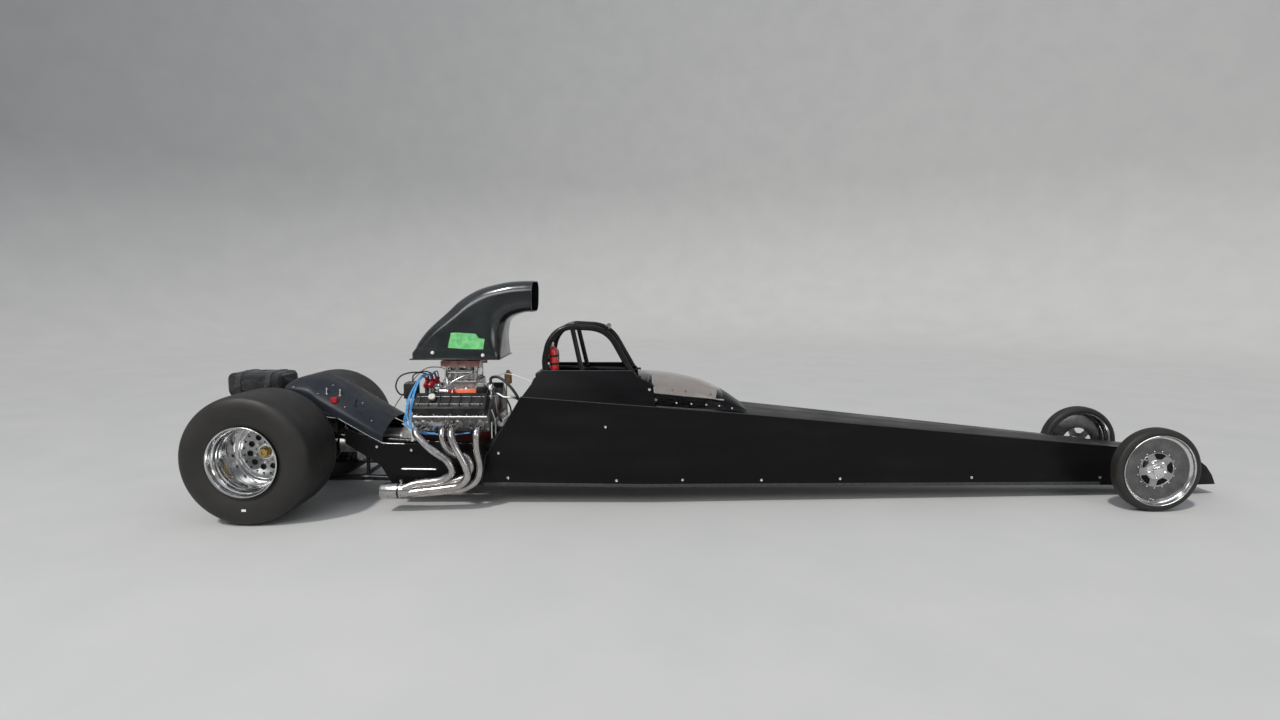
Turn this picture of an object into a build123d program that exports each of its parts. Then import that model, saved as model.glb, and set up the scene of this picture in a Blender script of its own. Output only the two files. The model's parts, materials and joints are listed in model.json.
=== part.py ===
"""Rear-engined drag racing car: a long tapered body over a tube frame, an open V8 behind the cockpit."""

import os
from math import cos, radians, sin

from build123d import *

# Driving dimensions in millimetres. Stations run forward from the rear axle, widths are
# half widths from the centre plane (right is -Y), and heights are above the ground.
wheelbase = 5715.0
nose_tip_station = wheelbase + 686.0
tail_end_station = -430.0
rear_tyre_radius = 402.0
front_tyre_radius = 273.0

sheet = 3.0  # body panel thickness
seam = 0.3  # gap between neighbouring pieces
hood_crown = 10.0
nose_wall = sheet - seam
nose_corner = 22.0
nose_hole_margin = 5.0
rail_radius = 19.0
brace_radius = 12.0

# Body sections: station, half width, underside height, shoulder height.
cockpit_rear_station = 1333.0
cockpit_front_station = 2400.0
shoulder_end_station = 3050.0
nose_start_station = wheelbase - 155.0
BODY_SECTIONS = (
    (cockpit_rear_station, 290.0, 138.0, 752.0),
    (cockpit_front_station, 290.0, 125.0, 671.0),
    (shoulder_end_station, 251.0, 117.0, 614.0),
    (nose_start_station, 116.0, 88.0, 365.0),
    (nose_tip_station, 84.0, 77.0, 285.0),
)

# Cockpit
panel_rear_top_station = 1609.0
cockpit_top_height = 897.0
cockpit_top_half_width = 243.0
cockpit_top_rear_station = 1736.0
cockpit_top_front_station = 2330.0
screen_base_rear_station = 2490.0

# Windscreen sections: station, half width above the shoulder, side height, crown height.
screen_thickness = 4.0
SCREEN_SECTIONS = (
    (2345.0, 243.0, 838.0, 868.0),
    (2620.0, 236.0, 786.0, 846.0),
    (2900.0, 222.0, 690.0, 768.0),
    (3095.0, 205.0, 625.0, 640.0),
)

# Tail deck sections: station, half width, edge height, crown height.
tail_panel_half_width = 286.7
tail_deck_fold = 60.0
TAIL_DECK_SECTIONS = (
    (20.0, 200.0, 781.0, 821.0),
    (188.0, 222.0, 758.0, 851.0),
    (265.0, 238.0, 706.0, 842.0),
    (521.0, 268.0, 571.0, 671.0),
    (690.0, tail_panel_half_width - sheet - seam, 478.0, 575.0),
)

# Frame
rail_inset = 4.0
rail_drop = 6.0
tail_rail_half_width = 216.0
tail_rail_low = 175.0
tail_rail_high = 520.0
tail_rail_end = -170.0
tail_bar_station = -155.0
bay_knee_station = 560.0
bay_rail_half_width = 262.0
bay_rail_rear_height = 440.0
bay_rail_front_height = 400.0
low_rail_end = wheelbase + 335.0
high_rail_end = wheelbase + 85.0
UPRIGHT_STATIONS = (1900.0, cockpit_front_station, shoulder_end_station, wheelbase - 95.0)
LOW_BAR_STATIONS = (1440.0, 1940.0, 2440.0, wheelbase + 85.0)
HIGH_BAR_STATIONS = (3180.0, wheelbase - 615.0)
seat_bar_station = LOW_BAR_STATIONS[1]
bar_radius = brace_radius + 2.0
axle_plate_thickness = 8.0
axle_tube_radius = 44.0

# Roll cage
cage_tube_radius = 20.0
cage_base_half_width = 220.0
cage_top_half_width = 190.0
cage_top_height = 1186.0
cage_bar_station = 1752.0
cage_bar_height = 960.0

# Engine
crank_height = 355.0
engine_rear_station = 890.0
engine_front_station = 1400.0
cylinder_pitch = 122.0

# Scoop sections: the lower front point and the upper rear point of each cut, half width, corner radius.
scoop_wall = 5.0
tray_underside = 966.0
tray_thickness = 8.0
SCOOP_SECTIONS = (
    ((1450.0, 974.3), (868.0, 974.3), 205.0, 60.0),
    ((1455.0, 1060.0), (905.0, 1085.0), 196.0, 70.0),
    ((1472.0, 1190.0), (1081.0, 1272.0), 178.0, 80.0),
    ((1530.0, 1258.0), (1306.0, 1432.0), 166.0, 75.0),
    ((1661.0, 1279.0), (1667.0, 1485.0), 162.0, 70.0),
)

# Exhaust headers: the route of each primary tube on the right side, as station, half width, height.
primary_radius = 24.0
outlet_radius = 49.0
outlet_wall = 2.5
outlet_rear_station = 724.0
outlet_length = 128.0
outlet_half_width = 418.0
outlet_height = 146.0
collector_length = 120.0
HEADER_ROUTES = (
    ((974, 286, 553), (930, 400, 528), (1042, 424, 419), (1160, 424, 340), (1190, 424, 262), (1110, 424, 212),
     (940, 420, 192)),
    ((1112, 286, 553), (1105, 374, 520), (1118, 376, 430), (1175, 376, 372), (1262, 380, 362), (1300, 384, 300),
     (1262, 388, 222), (1130, 400, 190), (940, 404, 165)),
    ((1198, 286, 553), (1166, 400, 528), (1196, 424, 447), (1262, 428, 325), (1288, 428, 240), (1232, 428, 178),
     (1100, 426, 158), (940, 430, 140)),
    ((1340, 286, 553), (1328, 374, 519), (1326, 378, 410), (1352, 378, 290), (1330, 380, 196), (1240, 384, 142),
     (940, 400, 118)),
)

# Wheels
rear_track_half = 480.5
rear_rim_lip_radius = 217.0
rear_rim_seat_radius = 203.0
rear_rim_half_width = 213.0
rear_disc_inset = 275.0
rear_disc_half_thickness = 6.0
rear_hole_count = 10
rear_hole_circle = 100.0
rear_hole_radius = 19.5
rear_tyre_half_width = 212.0
front_track_half = 381.0
front_rim_lip_radius = 231.0
front_rim_half_width = 45.0
front_tyre_half_width = 44.0
axle_shaft_radius = 20.0
spindle_radius = 11.0

# Steering
kingpin_half_width = 285.0
kingpin_radius = 9.0
kingpin_boss_radius = 22.0
front_axle_radius = 19.0
steer_arm_length = 100.0
tie_rod_radius = 8.0
tie_rod_height = front_tyre_radius - 62
running_clearance = 0.05

centre_station = (nose_tip_station + tail_end_station) / 2


def interpolate(table, station, column):
    """The value of a column at a station, straight between the table's rows."""
    for low, high in zip(table, table[1:]):
        if station <= high[0]:
            break
    share = (station - low[0]) / (high[0] - low[0])
    return low[column] + share * (high[column] - low[column])


def half_width(station):
    return interpolate(BODY_SECTIONS, station, 1)


def floor_height(station):
    return interpolate(BODY_SECTIONS, station, 2)


def shoulder_height(station):
    return interpolate(BODY_SECTIONS, station, 3)


def save(name, shape):
    """One STEP file per sub-part, in the frame whose origin is under the middle of the car."""
    export_step(Pos(-centre_station, 0, 0) * shape, f"parts/{name}.step")


def mirrored(shape):
    """The same piece on the left side."""
    return mirror(shape, about=Plane.XZ)


def save_sides(name, right):
    save(f"{name}_right", right)
    save(f"{name}_left", mirrored(right))


def cross_section(station, points):
    """A face across the car from (y, z) points."""
    return make_face(Polyline([(station, y, z) for y, z in points], close=True))


def side_profile(points, from_y, to_y):
    """A plate whose outline is given by (station, height) points, between two widths."""
    face = make_face(Polyline([(x, from_y, z) for x, z in points], close=True))
    return extrude(face, amount=to_y - from_y, dir=(0, 1, 0))


def box(x, y, z):
    """A block from three (low, high) pairs."""
    size = (x[1] - x[0], y[1] - y[0], z[1] - z[0])
    return Pos(x[0], y[0], z[0]) * Box(*size, align=(Align.MIN, Align.MIN, Align.MIN))


def rod(start, end, radius):
    """A straight round bar."""
    start, end = Vector(*start), Vector(*end)
    plane = Plane(origin=start, z_dir=end - start)
    return extrude(plane * Circle(radius), amount=(end - start).length)


def tube_pieces(points, radius, gap):
    """Straight round tubes from point to point, their ends cut on the planes that halve each corner."""
    points = [Vector(*point) for point in points]
    ways = [(end - start).normalized() for start, end in zip(points, points[1:])]
    reach = 3 * radius
    pieces = []
    for i, way in enumerate(ways):
        first, last = i == 0, i == len(ways) - 1
        start = points[i] if first else points[i] - way * reach
        end = points[i + 1] if last else points[i + 1] + way * reach
        piece = rod(start, end, radius)
        if not first:
            rear_cut = Plane(origin=points[i] + way * gap / 2, z_dir=ways[i - 1] + way)
            piece = split(piece, rear_cut, keep=Keep.TOP)
        if not last:
            front_cut = Plane(origin=points[i + 1] - way * gap / 2, z_dir=way + ways[i + 1])
            piece = split(piece, front_cut, keep=Keep.BOTTOM)
        pieces.append(piece)
    return pieces


def tube_run(points, radius):
    """A round tube along straight runs with mitred corners."""
    return fuse_all(tube_pieces(points, radius, 0))


def turned(points, station, y, height):
    """A solid of revolution about a cross-car axis from (offset along the axis, radius) points."""
    face = make_face(Polyline([(0, offset, radius) for offset, radius in points], close=True))
    return Pos(station, y, height) * revolve(face, axis=Axis.Y)


def arch(width, side, crown):
    """Five (y, z) points over the car from left to right, on a flattened arch."""
    rise = crown - side
    return ((width, side), (0.6 * width, side + 0.68 * rise), (0, crown), (-0.6 * width, side + 0.68 * rise),
            (-width, side))


def body_slice(low, high, section):
    """A solid between two stations whose (y, z) section comes from a function of the station."""
    return loft([cross_section(low, section(low)), cross_section(high, section(high))], ruled=True)


def body_run(stations, section):
    return fuse_all([body_slice(low, high, section) for low, high in zip(stations, stations[1:])])


def group(pieces):
    """Separate solids kept together as one sub-part."""
    return Compound([solid for piece in pieces for solid in piece.solids()])


def fuse_all(shapes):
    whole = shapes[0]
    for shape in shapes[1:]:
        whole = whole + shape
    return whole


# Body

def side_panel():
    """The lower side: upright sheet from the floor to the shoulder, its rear edge raked."""
    def section(station):
        width = half_width(station)
        low = floor_height(station) + sheet
        high = shoulder_height(station)
        return ((-width, low), (-width + sheet, low), (-width + sheet, high), (-width, high))

    stations = (cockpit_rear_station, cockpit_front_station, shoulder_end_station, nose_start_station)
    panel = body_run(stations, section)
    rake = side_profile(
        ((1300, 341), (1364, 341), (panel_rear_top_station, 740), (panel_rear_top_station, 800), (1300, 800)),
        -320, -250)
    return panel - rake


def upper_panel():
    """The cockpit side above the shoulder, leaning inwards to the top rail."""
    def section(station):
        width = half_width(station)
        low = shoulder_height(station) + seam
        high = cockpit_top_height
        top = cockpit_top_half_width
        return ((-width, low), (-width + sheet, low), (-top + sheet, high), (-top, high))

    panel = body_slice(1560, cockpit_front_station, section)
    panel = panel + body_slice(cockpit_front_station, screen_base_rear_station, section)
    trim_rear = side_profile(
        ((1500, 600), (1600, 712), (panel_rear_top_station, 732), (cockpit_top_rear_station, 900), (1500, 900)),
        -320, -200)
    trim_front = side_profile(
        ((cockpit_top_front_station, 900), (2372, 852), (2470, 806), (screen_base_rear_station - 4, 660),
         (2600, 660), (2600, 900)), -320, -200)
    return panel - trim_rear - trim_front


def hood_panel():
    """The top skin from the windscreen to the nose, folded to a gentle crown."""
    def section(station):
        width = half_width(station)
        edge = shoulder_height(station) + seam
        return ((-width, edge), (0, edge + hood_crown), (width, edge), (width, edge + sheet),
                (0, edge + sheet + hood_crown), (-width, edge + sheet))

    return body_slice(shoulder_end_station, nose_start_station, section)


def cowl_panel():
    """The black rim under the windscreen, open over the driver's legs."""
    def section(side):
        def points(station):
            width = half_width(station)
            edge = shoulder_height(station) + seam
            inner = width - 40
            return ((side * width, edge), (side * inner, edge), (side * inner, edge + sheet),
                    (side * width, edge + sheet))
        return points

    right = body_slice(screen_base_rear_station + 1, shoulder_end_station, section(-1))
    left = body_slice(screen_base_rear_station + 1, shoulder_end_station, section(1))
    width = half_width(shoulder_end_station) - 39
    edge = shoulder_height(shoulder_end_station) + seam
    front = box((shoulder_end_station - 60, shoulder_end_station), (-width, width), (edge, edge + sheet))
    return right + left + front


def belly_pan():
    """The flat floor sheet under the cockpit and the long front body."""
    def section(station):
        width = half_width(station)
        low = floor_height(station)
        return ((-width, low), (width, low), (width, low + sheet - seam), (-width, low + sheet - seam))

    stations = (cockpit_rear_station, cockpit_front_station, shoulder_end_station, nose_start_station)
    return body_run(stations, section)


def nose_outline(inset):
    """The nose seen from the side: flat underside, blunt rounded front."""
    rear = nose_start_station + seam
    top_rear = shoulder_height(nose_start_station)
    return (
        (rear, floor_height(nose_start_station) + inset),
        (nose_tip_station - inset, floor_height(nose_tip_station) + inset),
        (nose_tip_station - 33 - inset, 145),
        (nose_tip_station - 83 - inset, 208 - inset / 2),
        (nose_tip_station - 158 - inset / 2, 262 - inset),
        (nose_tip_station - 341, 314 - inset),
        (rear, top_rear - inset),
    )


def nose_cone():
    """A hollow nose, open at the back, with holes for the axle and the tie rod."""
    rear = nose_start_station + seam
    knee = nose_tip_station - 221

    def shape(inset, extra):
        outline = [(x - extra if x == rear else x, z) for x, z in nose_outline(inset)]
        plate = side_profile(outline, -half_width(rear), half_width(rear))
        widths = ((rear - extra, half_width(nose_start_station) - inset), (knee, half_width(knee) - inset),
                  (nose_tip_station, half_width(nose_tip_station) - inset - nose_corner))
        plan = [(station, -width, 0) for station, width in widths]
        plan += [(station, width, 0) for station, width in reversed(widths)]
        return plate & extrude(make_face(Polyline(plan, close=True)), amount=2 * front_tyre_radius)

    shell = shape(0, 0) - shape(nose_wall, 1.0)
    for station, height, radius in (
        (wheelbase, front_tyre_radius, front_axle_radius + nose_hole_margin),
        (wheelbase + steer_arm_length, tie_rod_height, tie_rod_radius + nose_hole_margin + 2),
    ):
        shell = shell - rod((station, -200, height), (station, 200, height), radius)
    return shell


def windscreen():
    """The clear bubble: side walls and a crown, open at the back and below."""
    def section(row, inset):
        station, width, side, crown = row
        width = width - inset
        base = half_width(station) - 6 - inset
        low = shoulder_height(station) + sheet + 3 * seam
        side = side - inset
        crown = crown - inset
        low = low - inset
        return cross_section(station, ((-base, low), (base, low), *arch(width, side, crown)))

    outer = loft([section(row, 0) for row in SCREEN_SECTIONS], ruled=True)
    inner = loft([section(row, screen_thickness) for row in SCREEN_SECTIONS], ruled=True)
    trim = side_profile(((2200, 600), (2488, 600), (2474, 810), (2376, 856), (2345, 900), (2200, 900)), -320, 320)
    shell = outer - inner - trim
    under_hood = body_slice(
        shoulder_end_station - 60, nose_start_station,
        lambda station: ((-300, 300), (300, 300), (300, shoulder_height(station) + sheet + 2 * seam),
                         (0, shoulder_height(station) + sheet + hood_crown + 2 * seam),
                         (-300, shoulder_height(station) + sheet + 2 * seam)))
    return max((shell - under_hood).solids(), key=lambda solid: solid.volume)


def firewall(tubes):
    """The sheet between the engine and the seat, notched round the frame's tubes."""
    face = ((1512, 142), (1524, 500), (1628, 720), (1682, 845))
    outline = face + tuple((x + sheet, z) for x, z in reversed(face))
    width = half_width(cockpit_rear_station) - sheet - seam
    shoulder = shoulder_height(1600) - 20
    inside = make_face(Polyline([
        (1300, -width, 100), (1300, width, 100), (1300, width, shoulder), (1300, cockpit_top_half_width - 16, 870),
        (1300, -cockpit_top_half_width + 16, 870), (1300, -width, shoulder)], close=True))
    sheet_shape = side_profile(outline, -300, 300) & extrude(inside, amount=500, dir=(1, 0, 0))
    for tube in tubes:
        sheet_shape = sheet_shape - tube
    return max(sheet_shape.solids(), key=lambda solid: solid.volume)


# Tail

def tail_deck():
    """The sloping cowl between the rear tyres: a crowned top with turned-down sides."""
    def section(row, inset):
        station, width, edge, crown = row
        low = edge - tail_deck_fold - inset
        width = width - inset
        return cross_section(station, ((-width, low), (width, low), *arch(width, edge - inset, crown - inset)))

    outer = loft([section(row, 0) for row in TAIL_DECK_SECTIONS], ruled=True)
    inner = loft([section(row, sheet) for row in TAIL_DECK_SECTIONS], ruled=True)
    return outer - inner


def tail_panel():
    """The flat side of the engine bay, from behind the cockpit to ahead of the rear tyre."""
    outline = ((446, 420), (446, 528), (690, 417), (805, 420), (1385, 420), (1362, 338), (1332, 141), (746, 138),
               (672, 274))
    return side_profile(outline, -tail_panel_half_width, sheet - tail_panel_half_width)


# Frame

def rail_half_width(station):
    return interpolate(BODY_SECTIONS[:-1], station, 1) - sheet - rail_radius - rail_inset


def low_rail_point(station):
    height = interpolate(BODY_SECTIONS[:-1], station, 2) + sheet + rail_radius
    return (station, -rail_half_width(station), height)


def high_rail_point(station):
    height = interpolate(BODY_SECTIONS[:-1], station, 3) - rail_radius - rail_drop
    return (station, -rail_half_width(station), height)


def rails(radius, gap):
    """The lower and upper rails of the right side, in straight lengths that meet at mitred joints."""
    tail = -tail_rail_half_width
    knees = (cockpit_front_station, shoulder_end_station)
    lower = ((tail_rail_end, tail, tail_rail_low), (bay_knee_station, tail, tail_rail_low), low_rail_point(1340),
             *[low_rail_point(knee) for knee in knees], low_rail_point(low_rail_end))
    upper = ((tail_rail_end, tail, tail_rail_high), (bay_knee_station, tail, bay_rail_rear_height),
             (1385, -bay_rail_half_width, bay_rail_front_height), (1640, -bay_rail_half_width, 690),
             *[high_rail_point(knee) for knee in knees], high_rail_point(high_rail_end))
    return [*tube_pieces(lower, radius, gap), *tube_pieces(upper, radius, gap)]


def coped(bar, others):
    """The middle of a bar after its ends are notched to the tubes that it meets."""
    for other in others:
        bar = bar - other
    return max(bar.solids(), key=lambda solid: solid.volume)


def frame_side(notches):
    """The right side of the frame: lower rail, upper rail, uprights and the two axle plates."""
    tail = -tail_rail_half_width
    bars = [
        ((1368, -bay_rail_half_width, 165), (1368, -bay_rail_half_width, 420)),
        ((bay_knee_station, tail, tail_rail_low), (bay_knee_station, tail, bay_rail_rear_height)),
    ]
    for station in UPRIGHT_STATIONS:
        bars.append((low_rail_point(station), high_rail_point(station)))
    braces = [coped(rod(low, high, brace_radius), notches) for low, high in bars]
    half = axle_plate_thickness / 2
    rear = side_profile(((-95, 150), (95, 150), (80, 540), (-80, 540)), tail - half, tail + half)
    rear = rear - rod((0, -300, rear_tyre_radius), (0, 0, rear_tyre_radius), axle_tube_radius + seam)
    y = -rail_half_width(wheelbase)
    front = side_profile(((wheelbase - 43, 112), (wheelbase + 43, 112), (wheelbase + 33, 330), (wheelbase - 33, 330)),
                         y - half, y + half)
    front = front - rod((wheelbase, y - 50, front_tyre_radius), (wheelbase, y + 50, front_tyre_radius),
                        front_axle_radius + seam)
    plates = [coped(plate, notches) for plate in (rear, front)]
    return group([*rails(rail_radius, seam), *braces, *plates])


def crossmembers(notches):
    """Tubes between the two sides, coped to the rails."""
    notches = [*notches, *[mirrored(notch) for notch in notches]]
    tail = -tail_rail_half_width
    ends = [(tail_bar_station, tail, tail_rail_low), (tail_bar_station, tail, tail_rail_high),
            (bay_knee_station - 40, tail, tail_rail_low)]
    ends += [low_rail_point(station) for station in LOW_BAR_STATIONS]
    ends += [high_rail_point(station) for station in HIGH_BAR_STATIONS]
    bars = [rod((x, y, z), (x, -y, z), bar_radius) for x, y, z in ends]
    return group([coped(bar, notches) for bar in bars])


def cage_leg(radius):
    """The tube that stands the rear of the cage on the frame's upper rail."""
    return rod((1712, -cage_base_half_width, 862), (1640, 6 - bay_rail_half_width, 705), radius)


def roll_cage(notches):
    """Two side loops leaning inwards, joined by bars across the top and the back."""
    base, top = -cage_base_half_width, -cage_top_half_width
    loop = tube_run(((1765, base, 870), (1752, base + 4, 960), (1778, base + 10, 1080), (1830, base + 18, 1148),
                     (1905, top, cage_top_height), (2165, top, cage_top_height - 14), (2335, base, 868)),
                    cage_tube_radius)
    middle = rod((2003, base + 2, 870), (1934, top, cage_top_height), cage_tube_radius - 4)
    rail = rod((1700, base, 868), (2390, base, 846), cage_tube_radius - 2)
    side = loop + middle + rail + coped(cage_leg(cage_tube_radius - 4), notches)
    bars = [
        rod((cage_bar_station, base, cage_bar_height), (cage_bar_station, -base, cage_bar_height), bar_radius),
        rod((1908, top, cage_top_height), (1908, -top, cage_top_height), cage_tube_radius - 3),
        rod((2160, top, cage_top_height - 14), (2160, -top, cage_top_height - 14), cage_tube_radius - 3),
        rod((1706, base, 868), (1706, -base, 868), cage_tube_radius - 5),
    ]
    return fuse_all([side, mirrored(side), *bars])


# Engine

def engine_block():
    """The V8 block: skirts, two decks at 45 degrees and the valley between them."""
    c = crank_height
    points = ((-130, c - 70), (130, c - 70), (130, c + 25), (235, c + 135), (100, c + 270), (50, c + 220),
              (-50, c + 220), (-100, c + 270), (-235, c + 135), (-130, c + 25))
    return extrude(cross_section(engine_rear_station, points), amount=engine_front_station - engine_rear_station,
                   dir=(1, 0, 0))


def cylinder_head():
    c = crank_height
    points = ((-235 - 0.2, c + 135 + 0.2), (-262, c + 145), (-312, c + 245), (-185, c + 365), (-100.2, c + 270.2))
    return extrude(cross_section(engine_rear_station + 5, points),
                   amount=engine_front_station - engine_rear_station - 10, dir=(1, 0, 0))


def valve_cover():
    """A cast cover with a flange and ribs across its top."""
    c = crank_height
    frame = Plane(origin=(engine_rear_station + 15, -248.5, c + 305), x_dir=(1, 0, 0), z_dir=(0, -0.687, 0.727))
    length = engine_front_station - engine_rear_station - 30
    body = Pos(length / 2, 0, 34 + 0.3) * Box(length, 138, 68)
    cover = fillet(body.edges().group_by(Axis.Z)[-1], 14)
    ribs = [Pos(40 + i * (length - 80) / 6, 0, 70) * Box(8, 96, 8) for i in range(7)]
    return frame * fuse_all([cover, *ribs])


def intake_manifold():
    """A valley cover, a riser and a plenum box, with eight runners out to the heads."""
    c = crank_height
    plenum = box((1040, 1290), (-85, 85), (745, 815))
    base = extrude(cross_section(engine_rear_station + 100, ((-88, c + 260), (-50, c + 220.4), (50, c + 220.4),
                   (88, c + 260), (88, c + 290), (60, c + 330), (-60, c + 330), (-88, c + 290))), amount=390,
                   dir=(1, 0, 0))
    riser = box((1060, 1270), (-55, 55), (c + 320, 750))
    runners = []
    for i in range(4):
        end = 1075 + i * 60
        for side in (-1, 1):
            runners.append(rod((port_station(i), side * 142, c + 317), (end, side * 55, 780), 22))
    whole = fuse_all([base, riser, plenum, *runners])
    head = cylinder_head()
    return whole - head - mirrored(head)


def port_station(index):
    return engine_rear_station + 72 + index * cylinder_pitch


def carburettor():
    """Throttle base, body with two float bowls, and a top plate on four posts."""
    body = box((1085, 1245), (-60, 60), (827, 905))
    base = box((1060, 1270), (-75, 75), (815 + seam, 827))
    bowls = box((1050, 1085), (-50, 50), (840, 895)) + box((1245, 1280), (-50, 50), (840, 895))
    plate = box((1035, 1300), (-115, 115), (935, 950))
    throat = rod((1165, 0, 905), (1165, 0, 966 - seam), 62)
    posts = [rod((x, y, 827), (x, y, 940), 6) for x in (1065, 1265) for y in (-68, 68)]
    return fuse_all([body, base, bowls, plate, throat, *posts])


def scoop_plane(inner, outer):
    """The plane of a scoop cut: x across the car, y from the lower front point to the upper rear point."""
    middle = ((inner[0] + outer[0]) / 2, 0, (inner[1] + outer[1]) / 2)
    rise = Vector(outer[0] - inner[0], 0, outer[1] - inner[1])
    return Plane(origin=middle, x_dir=(0, 1, 0), z_dir=Vector(0, 1, 0).cross(rise)), rise.length


def soft_rectangle(half_x, half_y, corner):
    """A rectangle face whose corners are each rounded by two flats."""
    bulge = corner * cos(radians(45))
    points = []
    for sign_x, sign_y in ((1, 1), (-1, 1), (-1, -1), (1, -1)):
        turn = [(half_x - corner + part_x, half_y - corner + part_y)
                for part_x, part_y in ((corner, 0), (bulge, bulge), (0, corner))]
        if sign_x * sign_y < 0:
            turn.reverse()
        points += [(sign_x * x, sign_y * y) for x, y in turn]
    return make_face(Polyline(points, close=True))


def scoop():
    """The elbow-shaped air scoop, a thin shell open below and at its forward mouth."""
    def sections(inset):
        made = []
        for inner, outer, width, corner in SCOOP_SECTIONS:
            plane, height = scoop_plane(inner, outer)
            made.append(plane * soft_rectangle(width - inset, height / 2 - inset, corner - inset))
        return made

    return loft(sections(0), ruled=True) - loft(sections(scoop_wall), ruled=True)


def scoop_tray():
    """The base plate under the scoop with a turned-up rim and the carburettor's hole."""
    tray = box((860, 1458), (-212, 212), (tray_underside, tray_underside + tray_thickness))
    return tray - rod((1165, 0, 900), (1165, 0, 1000), 50)


def header():
    """Four primary tubes from the ports into one collector, with a slip-on outlet."""
    tubes = [tube_run([(x, -y, z) for x, y, z in route], primary_radius) for route in HEADER_ROUTES]
    c = crank_height
    flange = extrude(cross_section(905, (
        (-266.5 - 0.27, c + 153.9 - 0.14), (-306.7 - 0.27, c + 234.4 - 0.14),
        (-306.7 - 7.4, c + 234.4 - 3.7), (-266.5 - 7.4, c + 153.9 - 3.7))), amount=482, dir=(1, 0, 0))
    joint = outlet_rear_station + outlet_length
    wide = Plane(origin=(joint + collector_length, -416, 155), z_dir=(1, 0, 0)) * Circle(60)
    narrow = Plane(origin=(joint, -outlet_half_width, outlet_height), z_dir=(1, 0, 0)) * Circle(outlet_radius - 2)
    cone = loft([narrow, wide])
    axis = [(station, -outlet_half_width, outlet_height) for station in
            (outlet_rear_station - 1, outlet_rear_station, joint - 5, joint)]
    sleeve = rod(axis[1], axis[3], outlet_radius)
    bore = rod(axis[0], axis[2], outlet_radius - outlet_wall)
    whole = fuse_all([flange, cone, sleeve, *tubes]) - bore
    return max((whole - cylinder_head()).solids(), key=lambda solid: solid.volume)


def oil_pan():
    c = crank_height
    outline = ((900, c - 70 - seam), (1390, c - 70 - seam), (1390, c - 130), (1180, c - 150), (1150, 160),
               (900, 160))
    return side_profile(outline, -105, 105)


def transmission():
    """Bell housing, gearbox case and tail housing, behind the engine."""
    c = crank_height
    bell = Plane(origin=(engine_rear_station - 8, 0, c), z_dir=(-1, 0, 0))
    shape = loft([bell * Circle(190), bell.offset(150) * Circle(120)])
    case = box((440, 742), (-105, 105), (c - 110, c + 95))
    case = fillet(case.edges().filter_by(Axis.X), 40)
    tail = rod((300, 0, c), (441, 0, c), 60)
    return shape + case + tail


def motor_plates(notches):
    """Two flat plates that hang the engine between the frame rails."""
    notches = [*notches, *[mirrored(notch) for notch in notches]]
    rear = box((engine_rear_station - 7.7, engine_rear_station - seam), (-250, 250), (330, 560))
    front = box((engine_front_station + seam, engine_front_station + 7.7), (-262, 262), (330, 560))
    hole = rod((800, 0, crank_height), (1500, 0, crank_height), 60)
    return group([coped(plate - hole, notches) for plate in (rear, front)])


def front_drive():
    """Timing cover, water pump with hoses' necks, and the crank damper."""
    c = crank_height
    x = engine_front_station + 8
    cover = box((x, x + 45), (-95, 95), (c - 60, c + 170))
    damper = rod((x + 45, 0, c), (x + 95, 0, c), 82)
    pump = rod((x + 45, 0, c + 140), (x + 100, 0, c + 140), 55)
    necks = rod((x + 30, -130, c + 170), (x + 30, 130, c + 170), 24)
    return fuse_all([cover, damper, pump, necks])


def distributor():
    """Shaft housing, body and capped top at the back of the valley."""
    c = crank_height
    x = engine_rear_station + 50
    return fuse_all([
        rod((x, 0, c + 220 + seam), (x, 0, c + 400), 32),
        rod((x, 0, c + 400), (x, 0, c + 470), 62),
    ])


# Rear axle and wheels

def axle_housing():
    """Round centre section, pinion nose, tubes and end flanges, bored for the shaft."""
    h = rear_tyre_radius
    centre = rod((0, -70, h), (0, 70, h), 135) + rod((0, -95, h), (0, 95, h), 100)
    nose = rod((90, 0, crank_height), (285, 0, crank_height), 62)
    tubes = rod((0, -236, h), (0, 236, h), axle_tube_radius)
    flanges = rod((0, -236, h), (0, -226, h), 78) + rod((0, 226, h), (0, 236, h), 78)
    whole = fuse_all([centre, nose, tubes, flanges])
    whole = whole - rod((0, -210, h), (0, 210, h), axle_shaft_radius + 8)
    return whole - rod((0, -300, h), (0, 300, h), axle_shaft_radius + running_clearance)


def axle_shaft():
    """The solid shaft across the car with a drive flange and a brake disc at each end."""
    h = rear_tyre_radius
    hub = rear_track_half + rear_rim_half_width - rear_disc_inset
    inner = hub - rear_disc_half_thickness - seam
    shaft = rod((0, -hub, h), (0, hub, h), axle_shaft_radius)
    ends = [rod((0, side * (inner - 18), h), (0, side * inner, h), 80) for side in (-1, 1)]
    discs = [rod((0, side * 246, h), (0, side * 254, h), 146) for side in (-1, 1)]
    return fuse_all([shaft, *ends, *discs])


def brake_calipers():
    """A caliper over the rear of each disc, on a bracket from the housing's flange."""
    h = rear_tyre_radius
    made = []
    for side in (-1, 1):
        low, high = sorted((side * 240, side * 266))
        body = box((-172, -98), (low, high), (h - 52, h + 52))
        low, high = sorted((side * 245, side * 255))
        slot = box((-158, -90), (low, high), (h - 60, h + 60))
        low, high = sorted((side * (236 + seam), side * 244.7))
        arm = box((-140, -50), (low, high), (h - 20, h + 20))
        arm = arm - rod((0, -300, h), (0, 300, h), 60)
        made.append((body - slot) + arm)
    return group(made)


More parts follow.
